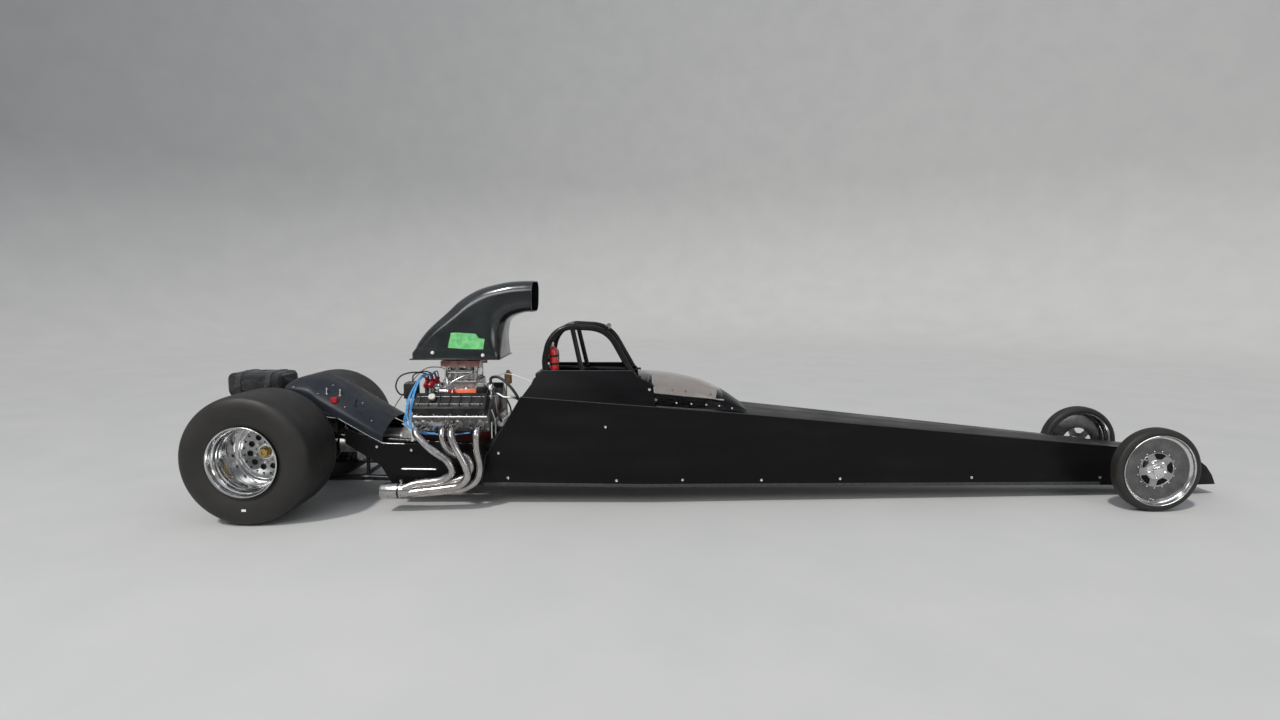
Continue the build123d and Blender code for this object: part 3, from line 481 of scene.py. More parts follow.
# Half the width of a tread groove, and its depth.
GROOVE_HALF_WIDTH = 0.0013
GROOVE_DEPTH = 0.003


def turned_tyre(station, radius, track, half_profile, ribs, groove_rows=()):
    """A tyre from a half profile of (offset, depth below the tread) pairs, with ribs on its sidewalls."""
    half = smooth_profile([(offset, radius - depth) for offset, depth in half_profile])
    outer = [(-offset, r) for offset, r in reversed(half)] + half[1:]
    bead, bead_depth = half_profile[-1]
    profile = [(0.012 - bead, radius - bead_depth)]
    for offset, r in outer:
        lift = sum(height for low, high, height in ribs if low < r < high)
        side = 1 if offset > 0 else -1
        near_tread = abs(offset) < half_profile[-3][0] * 0.6
        profile.append((offset + (0 if near_tread else side * lift), r))
    profile.append((bead - 0.012, radius - bead_depth))
    if groove_rows:
        profile = grooved(profile, groove_rows)
    return Shape().lathe(profile, at(station, track, radius), steps=160)


def grooved(profile, rows):
    """Cuts round grooves into a tread."""
    made = []
    for point, ahead in zip(profile, profile[1:]):
        made.append(point)
        for row in rows:
            if point[0] < row - GROOVE_HALF_WIDTH < ahead[0]:
                top = point[1] + (ahead[1] - point[1]) * (row - point[0]) / max(ahead[0] - point[0], 1e-6)
                low = top - GROOVE_DEPTH
                made += [(row - 0.0014, top), (row - 0.0012, low), (row + 0.0012, low), (row + 0.0014, top)]
    return made + profile[-1:]


REAR_TYRE = ((0.0, 0.0), (0.08, 0.0004), (0.14, 0.002), (0.172, 0.007), (0.192, 0.018), (0.2045, 0.038),
             (0.2115, 0.064), (0.213, 0.084), (0.211, 0.11), (0.206, 0.134), (0.199, 0.156),
             (0.1945, 0.172), (0.193, 0.1845))
FRONT_TYRE = ((0.0, 0.0), (0.018, 0.0003), (0.028, 0.0022), (0.036, 0.0065), (0.0415, 0.0145),
              (0.0438, 0.024), (0.0432, 0.033), (0.04, 0.0405), (0.037, 0.0417))


def make_tyres():
    for side, sign in SIDES:
        tyre = turned_tyre(0, REAR_RADIUS, sign * REAR_TRACK, REAR_TYRE,
                           ((0.232, 0.238, 0.0015), (0.3, 0.303, 0.0008), (0.338, 0.342, 0.001)))
        item = tyre.make("tyre_rear_" + side, "rubber", "rear_axle")
        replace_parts(item, "rear_tyre_" + side)
        tyre = turned_tyre(WHEELBASE, FRONT_RADIUS, sign * FRONT_TRACK, FRONT_TYRE,
                           ((0.25, 0.2515, 0.0008),), (-0.021, -0.0075, 0.0075, 0.021))
        item = tyre.make("tyre_front_" + side, "rubber", "front_wheel_assembly_" + side)
        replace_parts(item, "front_tyre_" + side)
    mark = Shape()
    centre = at(0, -REAR_TRACK - 0.2126, REAR_RADIUS)
    points = [centre + spoke(r, angle) for angle in (-92.6, -90.0, -87.4) for r in (0.287, 0.301)]
    points += [p + Vector((0, 0.006, 0)) for p in points]
    mark.add(points, [(0, 1, 3, 2), (2, 3, 5, 4), (6, 8, 9, 7), (8, 10, 11, 9), (0, 6, 7, 1),
                      (4, 5, 11, 10), (0, 2, 8, 6), (2, 4, 10, 8), (1, 7, 9, 3), (3, 9, 11, 5)])
    mark.make("tyre_mark", "white", "rear_axle")


def holed_disc(centre, radius, thick, holes):
    """A flat disc across the Y axis with round holes, as rows of (count, circle, hole radius, first angle).

    A fifth number makes the holes windows: half their angle at the disc's centre, in degrees.
    """
    plate = Shape().lathe([(-thick / 2, TIP), (-thick / 2, radius), (thick / 2, radius), (thick / 2, TIP)],
                          (0, 0, 0), steps=128)
    cutters = Shape()
    ends = (-thick * 2, thick * 2)
    for count, reach, hole, first, *half_angle in holes:
        for i in range(count):
            angle = first + 360 * i / count
            if half_angle:
                cutters.rings([window(angle, y, reach, hole, half_angle[0]) for y in ends])
            else:
                cutters.bar(*(spoke(reach, angle, y) for y in ends), hole, 24)
    target = placed("disc", mesh_of("disc", plate, MERGE))
    tool = placed("cut", mesh_of("cut", cutters, MERGE))
    cut = target.modifiers.new("holes", "BOOLEAN")
    cut.operation = "DIFFERENCE"
    cut.solver = "EXACT"
    cut.object = tool
    made = evaluated(target)
    for item in (target, tool):
        bpy.data.objects.remove(item)
    return Shape().add([Vector(centre) + v.co for v in made.vertices],
                       [tuple(p.vertices) for p in made.polygons])


# Points round a window, and how square its corners are: 1 is an ellipse and 0 a rectangle.
WINDOW_POINTS = 32
WINDOW_POWER = 0.45


def window(angle, y, reach, half_width, half_angle):
    """The outline of a window with rounded corners that bends with the disc and widens outwards."""
    def eased_side(value):
        return (1 if value > 0 else -1) * abs(value) ** WINDOW_POWER
    points = []
    for k in range(WINDOW_POINTS):
        turn = 2 * pi * k / WINDOW_POINTS
        outwards = eased_side(cos(turn))
        a = radians(angle) + radians(half_angle) * (1 + 0.25 * outwards) * eased_side(sin(turn))
        r = reach + half_width * outwards
        points.append(Vector((r * cos(a), y, r * sin(a))))
    return points


def mirror_profile(profile, sign):
    """Profiles are written for offsets outwards; the outside of the right wheel is -Y."""
    return [(sign * offset, radius) for offset, radius in profile]


REAR_BARREL = (
    (0.213, 0.216), (0.2145, 0.2125), (0.213, 0.209), (0.205, 0.2045), (0.196, 0.203), (0.18, 0.202),
    (0.176, 0.1985), (0.172, 0.195), (0.15, 0.1925), (0.144, 0.189), (0.138, 0.185), (0.05, 0.1815),
    (-0.046, 0.181), (-0.058, 0.179), (-0.068, 0.176), (-0.074, 0.179), (-0.086, 0.183),
    (-0.19, 0.185), (-0.206, 0.198), (-0.2125, 0.212), (-0.213, 0.2165), (-0.206, 0.2165),
    (-0.199, 0.204), (0.199, 0.206), (0.206, 0.2165),
)
FRONT_BARREL = (
    (0.0445, 0.2308), (0.0455, 0.2285), (0.0445, 0.2262), (0.04, 0.2235), (0.034, 0.2225), (0.029, 0.2215),
    (0.0255, 0.219), (0.0235, 0.215), (0.0215, 0.2105), (0.018, 0.207), (0.015, 0.2085), (0.012, 0.212),
    (-0.033, 0.22), (-0.04, 0.224), (-0.0445, 0.229), (-0.04, 0.2308), (-0.036, 0.224),
    (0.036, 0.2245), (0.04, 0.2308),
)


def make_rear_wheel(side, sign):
    centre = at(0, sign * REAR_TRACK, REAR_RADIUS)
    out = Vector((0, sign, 0))
    middle = centre - out * 0.062
    wheel = Shape().lathe(mirror_profile(REAR_BARREL, sign), centre, steps=128)
    disc = holed_disc(middle, 0.1805, 0.012, ((10, 0.1, 0.0195, 6), (5, 0.0625, 0.007, 20)))
    disc.make("wheel_centre_rear_" + side, "spun", "rear_axle")
    # A flat dark ring just inside the wheel centre, seen through its holes so they read dark: painted shade.
    back = [(-0.01, 0.076), (-0.01, 0.126), (-0.012, 0.126), (-0.012, 0.076)]
    behind = Shape().lathe(mirror_profile(back, sign), middle, steps=64)
    behind.make("wheel_hole_shade_rear_" + side, "dark", "rear_axle")
    ring = [(0.006, 0.15), (0.012, 0.156), (0.013, 0.164), (0.008, 0.172), (0.006, 0.178), (0.0, 0.178),
            (0.0, 0.15)]
    wheel.lathe(mirror_profile(ring, sign), middle, steps=96)
    hub_ring = [(0.006, 0.036), (0.01, 0.04), (0.01, 0.046), (0.006, 0.05), (0.0, 0.05), (0.0, 0.036)]
    wheel.lathe(mirror_profile(hub_ring, sign), middle, steps=64)
    item = wheel.make("wheel_rear_" + side, "polished", "rear_axle")
    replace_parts(item, "rear_wheel_" + side)
    face = middle + out * 0.006
    dark = Shape()
    for i in range(20):
        hexagon_bolt(dark, face + spoke(0.14, 18 * i + 9), out, 0.0095)
    dark.make("wheel_ring_bolts_rear_" + side, "dark_steel", "rear_axle")
    small = Shape()
    for i in range(5):
        spot = face + spoke(0.0625, 72 * i + 56)
        small.bar(spot, spot + out * 0.02, 0.0105, 6, 0.001)
        small.bar(spot, spot + out * 0.028, 0.0055, 12, 0.0006)
    small.make("wheel_bolts_rear_" + side, "machined", "rear_axle")
    cap = [(0.0, TIP), (0.0, 0.034), (0.016, 0.034), (0.02, 0.031), (0.03, 0.029), (0.034, 0.026),
           (0.034, 0.014), (0.026, 0.012), (0.026, TIP)]
    hub = Shape().lathe(mirror_profile(cap, sign), face, steps=48)
    for i in range(8):
        spot = face + spoke(0.0205, 45 * i, sign * 0.034)
        hub.bar(spot, spot + out * 0.003, 0.0028, 10, 0.0005)
    hub.make("hub_cap_rear_" + side, "brass", "rear_axle")


def make_front_wheel(side, sign):
    centre = at(WHEELBASE, sign * FRONT_TRACK, FRONT_RADIUS)
    out = Vector((0, sign, 0))
    body = "front_wheel_assembly_" + side
    wheel = Shape().lathe(mirror_profile(FRONT_BARREL, sign), centre, steps=128)
    dish = [(0.0185, 0.2075), (0.015, 0.203), (0.0115, 0.185), (0.0085, 0.15), (0.008, 0.125),
            (0.0095, 0.111), (0.004, 0.111), (0.003, 0.15), (0.007, 0.19), (0.012, 0.206)]
    spun = Shape().lathe(mirror_profile(dish, sign), centre, steps=128)
    disc = holed_disc(centre + out * 0.008, 0.113, 0.004, ((5, 0.088, 0.0203, 8, 20.0),))
    spun.make("wheel_dish_front_" + side, "spun_grey", body)
    disc.make("wheel_star_front_" + side, "spun", body)
    bead = [(0.01, 0.108), (0.013, 0.1095), (0.013, 0.1115), (0.01, 0.113), (0.004, 0.113), (0.004, 0.108)]
    wheel.lathe(mirror_profile(bead, sign), centre, steps=96)
    cone = [(0.0095, 0.0655), (0.012, 0.064), (0.0185, 0.045), (0.0185, 0.03), (0.0095, 0.03)]
    wheel.lathe(mirror_profile(cone, sign), centre, steps=96)
    item = wheel.make("wheel_front_" + side, "polished", body)
    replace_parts(item, "front_wheel_" + side)
    small = Shape()
    for i in range(15):
        spot = centre + spoke(0.1215, 24 * i + 4, sign * 0.0075)
        small.bar(spot, spot + out * 0.0055, 0.0045, 12, 0.0015)
    for i in range(5):
        spot = centre + spoke(0.053, 72 * i + 54, sign * 0.0125)
        small.bar(spot, spot + out * 0.012, 0.0085, 6, 0.001)
        small.bar(spot, spot + out * 0.018, 0.0042, 12, 0.0005)
    stem = centre + Vector((-0.022, sign * 0.012, -0.194))
    small.bar(stem, stem + out * 0.022, 0.0042, 12, 0.001)
    small.make("wheel_bolts_front_" + side, "machined", body)
    cap = [(-0.028, 0.0122), (-0.028, 0.034), (0.006, 0.036), (0.01, 0.042), (0.016, 0.042), (0.019, 0.036),
           (0.032, 0.0345), (0.037, 0.03), (0.0395, 0.02), (0.0405, TIP), (0.02, TIP), (0.02, 0.0122)]
    hub = Shape().lathe(mirror_profile(cap, sign), centre, steps=48)
    hub.make("hub_front_" + side, "polished", body)


make_tyres()
for side, sign in SIDES:
    make_rear_wheel(side, sign)
    make_front_wheel(side, sign)


# Scoop, screen, deck and cage

# Scoop cuts: lower front station and height, upper rear station and height, half width, corner radius.
SCOOP_CUTS = (
    (1.452, 0.9745, 0.866, 0.9745, 0.205, 0.04),
    (1.4535, 1.003, 0.866, 1.01, 0.205, 0.044),
    (1.453, 1.03, 0.886, 1.042, 0.2, 0.06),
    (1.455, 1.06, 0.905, 1.085, 0.196, 0.075),
    (1.458, 1.118, 0.965, 1.165, 0.189, 0.095),
    (1.472, 1.19, 1.081, 1.272, 0.178, 0.105),
    (1.49, 1.225, 1.18, 1.36, 0.171, 0.105),
    (1.53, 1.252, 1.312, 1.4325, 0.166, 0.095),
    (1.59, 1.272, 1.48, 1.475, 0.164, 0.085),
    (1.63, 1.278, 1.6, 1.485, 0.163, 0.078),
    (1.661, 1.279, 1.667, 1.485, 0.162, 0.075),
)


def scoop_ring(row, inset):
    """A rounded rectangle across a cut."""
    front_x, front_z, rear_x, rear_z, width, corner = row
    middle = at((front_x + rear_x) / 2, 0, (front_z + rear_z) / 2)
    up = Vector((rear_x - front_x, 0, rear_z - front_z))
    half = up.length / 2 - inset
    up = up.normalized()
    corner = max(min(corner, half * 0.95) - inset, 0.01)
    corners = rounded_corners(width - inset, half, corner, 12)
    return [middle + Vector((0, y, 0)) + up * u for y, u in corners]


def make_scoop():
    rows = list(SCOOP_CUTS[:2]) + blended_rows(SCOOP_CUTS[2:], 5)
    nets = [[scoop_ring(row, inset) for row in rows] for inset in (0.0, 0.0045)]
    item = skin(*nets).make("air_scoop", "gel_coat")
    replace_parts(item, "scoop")
    lip = ((-0.0005, -0.012), (-0.0022, -0.01), (-0.0022, -0.001), (0.0045, 0.0), (0.0045, -0.012))
    rings = [[p + Vector((shift, 0, 0)) for p in scoop_ring(SCOOP_CUTS[-1], inset)] for inset, shift in lip]
    Shape().rings(rings, (False, False)).make("scoop_mouth_lip", "gel_coat")
    bolts = Shape()
    for side, sign in SIDES:
        for station, height in ((1.012, 1.014), (1.344, 0.997)):
            reach = scoop_side(rows, station, height) - 0.0005
            hexagon_bolt(bolts, at(station, sign * reach, height), (0, sign, 0), 0.016, 0.01)
    bolts.make("scoop_bolts", "white")
    tray = Shape().block(at(0.862, -0.2115, 0.9665), at(1.4575, 0.2115, 0.9735), 0.002)
    tray.make("scoop_tray_edge", "gel_coat")


def make_scoop_patch():
    """A plain green sticker with a ragged edge on each side of the scoop."""
    outline = ((1.113, 1.046), (1.133, 1.144), (1.178, 1.146), (1.227, 1.142), (1.3, 1.138), (1.312, 1.11),
               (1.356, 1.104), (1.337, 1.056), (1.348, 1.036), (1.235, 1.037), (1.167, 1.042))
    rows = blended_rows(SCOOP_CUTS[2:], 5)
    rear, front = outline[0][0], 1.356
    columns, levels = 24, 10
    for side, sign in SIDES:
        verts = []
        for i in range(columns + 1):
            x = rear + (front - rear) * i / columns
            low, high = span_at(outline, x)
            for k in range(levels + 1):
                z = low + (high - low) * k / levels
                verts.append(at(x, sign * (scoop_side(rows, x, z) + 0.0008), z))
        starts = [i * (levels + 1) + k for i in range(columns) for k in range(levels)]
        faces = [(a, a + levels + 1, a + levels + 2, a + 1) for a in starts]
        Shape().add(verts, faces).make("scoop_patch_" + side, "green_patch")


def span_at(outline, x):
    """The lowest and highest height of an outline at a station."""
    heights = []
    for (x0, z0), (x1, z1) in zip(outline, outline[1:] + outline[:1]):
        if min(x0, x1) - 1e-9 <= x <= max(x0, x1) + 1e-9 and x0 != x1:
            heights.append(z0 + (z1 - z0) * (x - x0) / (x1 - x0))
    return min(heights), max(heights)


def scoop_side(rows, x, z):
    """The half width of the scoop's flank where a cut passes through a point."""
    best = None
    for front_x, front_z, rear_x, rear_z, width, corner in rows:
        along = Vector((rear_x - front_x, rear_z - front_z))
        toward = Vector((x - front_x, z - front_z))
        away = abs(toward.x * along.y - toward.y * along.x) / along.length
        if best is None or away < best[0]:
            best = (away, toward.dot(along) / along.length_squared, along.length, width, corner)
    away, share, length, width, corner = best
    edge = min(share, 1 - share) * length
    corner = min(corner, length / 2 * 0.95)
    if edge >= corner:
        return width
    return width - corner + (max(corner ** 2 - (corner - edge) ** 2, 0)) ** 0.5


# Screen rows: station, base half width, base height, side half width, side height, crown height.
SCREEN_ROWS = (
    (2.352, 0.283, 0.678, 0.243, 0.838, 0.866),
    (2.5, 0.277, 0.667, 0.24, 0.812, 0.857),
    (2.62, 0.27, 0.658, 0.236, 0.786, 0.845),
    (2.76, 0.262, 0.648, 0.229, 0.742, 0.815),
    (2.88, 0.255, 0.64, 0.222, 0.696, 0.772),
    (2.98, 0.249, 0.632, 0.214, 0.66, 0.715),
    (3.05, 0.243, 0.626, 0.207, 0.64, 0.666),
    (3.092, 0.236, 0.6215, 0.2, 0.6255, 0.634),
)


def screen_half(row, inset, count=10):
    """The left half of the screen's section, from its foot to its crown."""
    station, base, low, width, side, crown = row
    base, width = base - inset, width - inset
    side, crown = side - inset * 0.6, crown - inset
    points = [(base, low), (base + (width - base) * 0.5, low + (side - low) * 0.5), (width, side)]
    arc = []
    for k in range(1, count):
        a = pi / 2 * k / count
        arc.append((width * cos(a) ** 0.8, side + (crown - side) * sin(a)))
    return smooth_profile(points, 4)[:-1] + [(width, side)] + arc + [(0.0, crown)]


# The screen's rear edge as (height, station): it laps the upper panels' raked front.
SCREEN_EDGE = ((0.6, 2.488), (0.68, 2.488), (0.806, 2.474), (0.852, 2.376), (0.9, 2.352))


def open_sheet(name, rows, half_of, insets, merge=MERGE, edge=None):
    """A mesh of a thin sheet across the car, from the left halves of its sections at two insets.

    Its four edges are closed. An edge given as (height, station) points ends it at the rear.
    """
    nets = []
    for inset in insets:
        net = []
        for row in rows:
            half = half_of(row, inset)
            right = [at(row[0], -y, z) for y, z in half]
            net.append(right + [at(row[0], y, z) for y, z in reversed(half[:-1])])
        nets.append(net)
    outer, inner = nets
    count = len(outer[0])
    starts = [i * count + j for i in range(len(outer) - 1) for j in range(count - 1)]
    faces = [(a, a + 1, a + 1 + count, a + count) for a in starts]
    shape = Shape().add([p for row in outer for p in row], faces)
    shape.add([p for row in inner for p in row], [tuple(reversed(face)) for face in faces])
    rims = [(outer[k], inner[k]) for k in (0, -1)]
    rims += [([row[k] for row in outer], [row[k] for row in inner]) for k in (0, -1)]
    for a, b in rims:
        shape.add([*a, *b], [(j, j + 1, len(a) + j + 1, len(a) + j) for j in range(len(a) - 1)])
    if edge:
        for vert in shape.verts:
            vert.x = max(vert.x, AXLE_X + between(edge, vert.z))
    return mesh_of(name, shape, merge)


def make_screen():
    rows = blended_rows(SCREEN_ROWS, 5)
    mesh = open_sheet("screen", rows, screen_half, (0.0, 0.0035), 2 * MERGE, SCREEN_EDGE)
    item = wear("screen", mesh, "clear_sheet")
    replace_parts(item, "windscreen")


# Deck rows: station, half width, edge height, crown height, skirt depth.
DECK_ROWS = (
    (0.02, 0.2, 0.781, 0.821, 0.06),
    (0.1, 0.213, 0.778, 0.843, 0.06),
    (0.188, 0.222, 0.758, 0.851, 0.06),
    (0.265, 0.236, 0.706, 0.822, 0.06),
    (0.392, 0.255, 0.64, 0.752, 0.06),
    (0.521, 0.27, 0.571, 0.664, 0.06),
    (0.625, 0.278, 0.512, 0.596, 0.058),
    (0.69, 0.2823, 0.478, 0.553, 0.055),
)


def deck_half(row, inset, count=12):
    """The left half of the deck's section, from its skirt to its crown."""
    station, width, edge, crown, skirt = row
    width -= inset
    low = edge - skirt
    half = [(width, low), (width, low + skirt * 0.5), (width, edge - 0.012 - inset),
            (width - 0.004, edge - inset)]
    for k in range(1, count):
        y = width * (1 - k / count)
        share = (y / width) ** 2
        half.append((y, edge + (crown - edge) * (1 - share ** 1.15) - inset))
    half.append((0.0, crown - inset))
    return half


def make_deck():
    mesh = open_sheet("deck", blended_rows(DECK_ROWS, 5), deck_half, (0.0, 0.0028))
    item = wear("deck", mesh, "black_satin")
    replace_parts(item, "tail_deck")


CAGE_RADIUS = 0.02


def make_cage():
    """Both side loops in bent tube, the middle legs, the low rails and the cross bars."""
    shape = Shape()
    for side, sign in SIDES:
        base, top = sign * 0.22, sign * 0.19
        loop = [at(1.765, base, 0.872), at(1.752, sign * 0.216, 0.96), at(1.778, sign * 0.21, 1.08),
                at(1.826, sign * 0.202, 1.146), at(1.905, top, 1.186), at(2.165, top, 1.172),
                at(2.333, base, 0.87)]
        shape.tube(rounded(loop, 0.46, 9), CAGE_RADIUS, 20)
        shape.tube([at(2.003, sign * 0.218, 0.872), at(1.934, top, 1.184)], 0.016, 16)
        shape.tube([at(1.7, base, 0.868), at(2.39, base, 0.846)], 0.018, 18)
        shape.tube([at(1.712, base, 0.862), at(1.652, sign * 0.2555, 0.722)], 0.016, 16)
    for x, y, z, radius in ((1.752, 0.216, 0.96, 0.014), (1.908, 0.19, 1.186, 0.017),
                            (2.16, 0.19, 1.172, 0.017), (1.706, 0.22, 0.868, 0.015)):
        shape.tube([at(x, -y, z), at(x, y, z)], radius, 16)
    item = shape.make("cage", "frame_paint")
    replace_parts(item, "roll_cage")
    collars = Shape()
    for side, sign in SIDES:
        for centre in (at(2.003, sign * 0.218, 0.885), at(2.333, sign * 0.219, 0.878)):
            collars.lathe([(-0.009, TIP), (-0.009, 0.024), (0.0, 0.026), (0.0, TIP)], centre, "Z", 24)
    collars.make("cage_weld_collars", "frame_paint")


make_scoop()
make_scoop_patch()
make_screen()
make_deck()
make_cage()


# Engine

def eased(node, name, width, look=None):
    """A CAD piece again with its edges rounded over."""
    work = bmesh.new()
    work.from_mesh(nodes[node].data)
    bmesh.ops.remove_doubles(work, verts=work.verts, dist=MERGE)
    bmesh.ops.dissolve_limit(work, angle_limit=radians(0.2), verts=work.verts, edges=work.edges)
    mesh = bpy.data.meshes.new(name)
    work.to_mesh(mesh)
    work.free()
    item = wear(name, mesh, look or slot_of[node], body_of[node], slot_of[node])
    ease = item.modifiers.new("ease", "BEVEL")
    ease.width = width
    ease.segments = 2
    ease.limit_method = "ANGLE"
    ease.angle_limit = SHARP_ANGLE
    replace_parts(item, node)
    return item


def lead(name, radius, look, *points):
    """A hose, lead or bent rod through points given as (station, width, height)."""
    Shape().tube(curve_through([at(*p) for p in points]), radius, 10).make(name, look)


def bolt_rows(name, rows):
    """Bolt heads from rows of (place, direction, size)."""
    shape = Shape()
    for place, way, size in rows:
        hexagon_bolt(shape, at(*place), way, size)
    shape.make(name, "machined")


def cover_point(sign, station, across, up):
    """A point on a valve cover: across its width (outwards) and up from the head."""
    return at(station, sign * (0.2485 + 0.687 * up + 0.727 * across), 0.66 + 0.727 * up - 0.687 * across)


def make_valve_cover(side, sign):
    eased("valve_cover_" + side, "rocker_cover_" + side, 0.004)
    normal = Vector((0, sign * 0.687, 0.727))
    rail = Shape().bar(at(0.9055, sign * 0.303, 0.6035), at(1.3845, sign * 0.303, 0.6035), 0.009, 14, 0.001)
    rail.make("head_rail_" + side, "machined")
    flange = Shape()
    for edge in (-0.0655, 0.0655):
        ends = [cover_point(sign, station, edge, 0.0045) for station in (0.9055, 1.3845)]
        flange.bar(*ends, 0.0042, 12, 0.001)
    flange.make("rocker_cover_edge_" + side, slot_of["valve_cover_" + side])
    bolts = Shape()
    for i in range(5):
        for edge in (-0.064, 0.064):
            hexagon_bolt(bolts, cover_point(sign, 0.929 + 0.108 * i, edge, 0.008), normal, 0.011)
    bolts.make("rocker_cover_bolts_" + side, "machined")
    cap = Shape()
    base = cover_point(sign, 1.03, -0.012, 0.069)
    cap.bar(base, base + normal * 0.02, 0.019, 28, 0.002)
    cap.bar(base + normal * 0.02, base + normal * 0.032, 0.025, 28, 0.004)
    cap.make("rocker_cover_cap_" + side, "cast_aluminium")
    lines = Shape()
    for across in (-0.03, 0.03):
        ends = [cover_point(sign, station, across, 0.07) for station in (0.925, 1.365)]
        lines.bar(*ends, 0.003, 10)
    lines.make("rocker_cover_beads_" + side, "machined")


def make_plugs(side, sign):
    """Plug boots under the exhaust flange and the leads that reach them from the distributor."""
    boots = Shape()
    for i, (station, apart) in enumerate(((0.924, 0.0), (1.043, 0.0088), (1.155, 0.027), (1.27, 0.0358))):
        foot = at(station, sign * 0.262, 0.52)
        way = Vector((0, sign * 0.84, -0.54))
        boots.tube([foot + way * along for along in (0.0, 0.016, 0.018, 0.046)],
                   [0.0065, 0.0065, 0.0095, 0.0078], 14)
        tip = foot + way * 0.045
        tower_x, tower_y = 0.94 + 0.036 * cos(0.4 + i), sign * (0.03 + 0.009 * i)
        lead("plug_lead_%s_%d" % (side, i), 0.0042, "blue_lead", (tower_x, tower_y, 0.826),
             (tower_x - 0.012, tower_y + sign * 0.02, 0.856 - 0.004 * i),
             (0.914 - apart, sign * (0.15 + 0.003 * i), 0.836 - apart),
             (0.902 - apart, sign * (0.262 + 0.002 * i), 0.745 - 0.6 * apart),
             (0.896 - apart, sign * (0.306 + 0.001 * i), 0.64),
             (0.892 - 0.8 * apart, sign * 0.315, 0.555 - 0.004 * i),
             (0.5 * (0.89 + station), sign * 0.308, 0.498 - 0.004 * i), (tip.x - AXLE_X, tip.y, tip.z))
    boots.make("plug_boots_" + side, "dark")


def make_distributor():
    """Finned body, red cap with a ring of lead towers, and its clamp."""
    body = Shape()
    body.lathe([(0.0, TIP), (0.0, 0.04), (0.01, 0.04), (0.012, 0.032), (0.12, 0.032), (0.126, 0.04),
                (0.1345, 0.04), (0.139, 0.052), (0.18, 0.054), (0.18, TIP)], at(0.94, 0, 0.5755), "Z", 40)
    item = body.make("distributor_body", "machined")
    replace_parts(item, "distributor")
    cap = Shape()
    cap.lathe([(0.0, TIP), (0.0, 0.06), (0.004, 0.062), (0.022, 0.061), (0.03, 0.054), (0.044, 0.05),
               (0.052, 0.04), (0.052, TIP)], at(0.94, 0, 0.755), "Z", 48)
    for k in range(8):
        a = radians(45 * k + 20)
        spot = at(0.94 + 0.038 * cos(a), 0.038 * sin(a), 0.8)
        cap.bar(spot, spot + Vector((0.004 * cos(a), 0.004 * sin(a), 0.025)), 0.0085, 14, 0.001)
    cap.bar(at(0.94, 0, 0.805), at(0.94, 0, 0.83), 0.009, 14, 0.001)
    cap.make("distributor_cap", "red_plastic")
    coil = Shape().block(at(0.8, -0.175, 0.7), at(0.872, -0.06, 0.8), 0.006)
    coil.make("ignition_coil", "dark")
    fins = Shape()
    for k in range(7):
        fins.block(at(0.806 + 0.0095 * k, -0.17, 0.8), at(0.81 + 0.0095 * k, -0.066, 0.808), 0.0006)
    fins.make("ignition_coil_fins", "cast_aluminium")
    arm = Shape().block(at(0.806, -0.15, 0.545), at(0.812, -0.09, 0.701), 0.001)
    arm.block(at(0.806, -0.15, 0.545), at(0.884, -0.09, 0.551), 0.001)
    arm.make("ignition_coil_bracket", "machined")
    lead("coil_lead", 0.0045, "hose", (0.838, -0.1, 0.806), (0.842, -0.085, 0.85), (0.89, -0.03, 0.868),
         (0.936, -0.002, 0.85), (0.94, 0, 0.828))
    lead("coil_loop", 0.0052, "hose", (0.806, -0.15, 0.72), (0.77, -0.17, 0.735), (0.752, -0.18, 0.79),
         (0.78, -0.165, 0.852), (0.85, -0.12, 0.872), (0.925, -0.06, 0.85), (0.925, -0.052, 0.79))


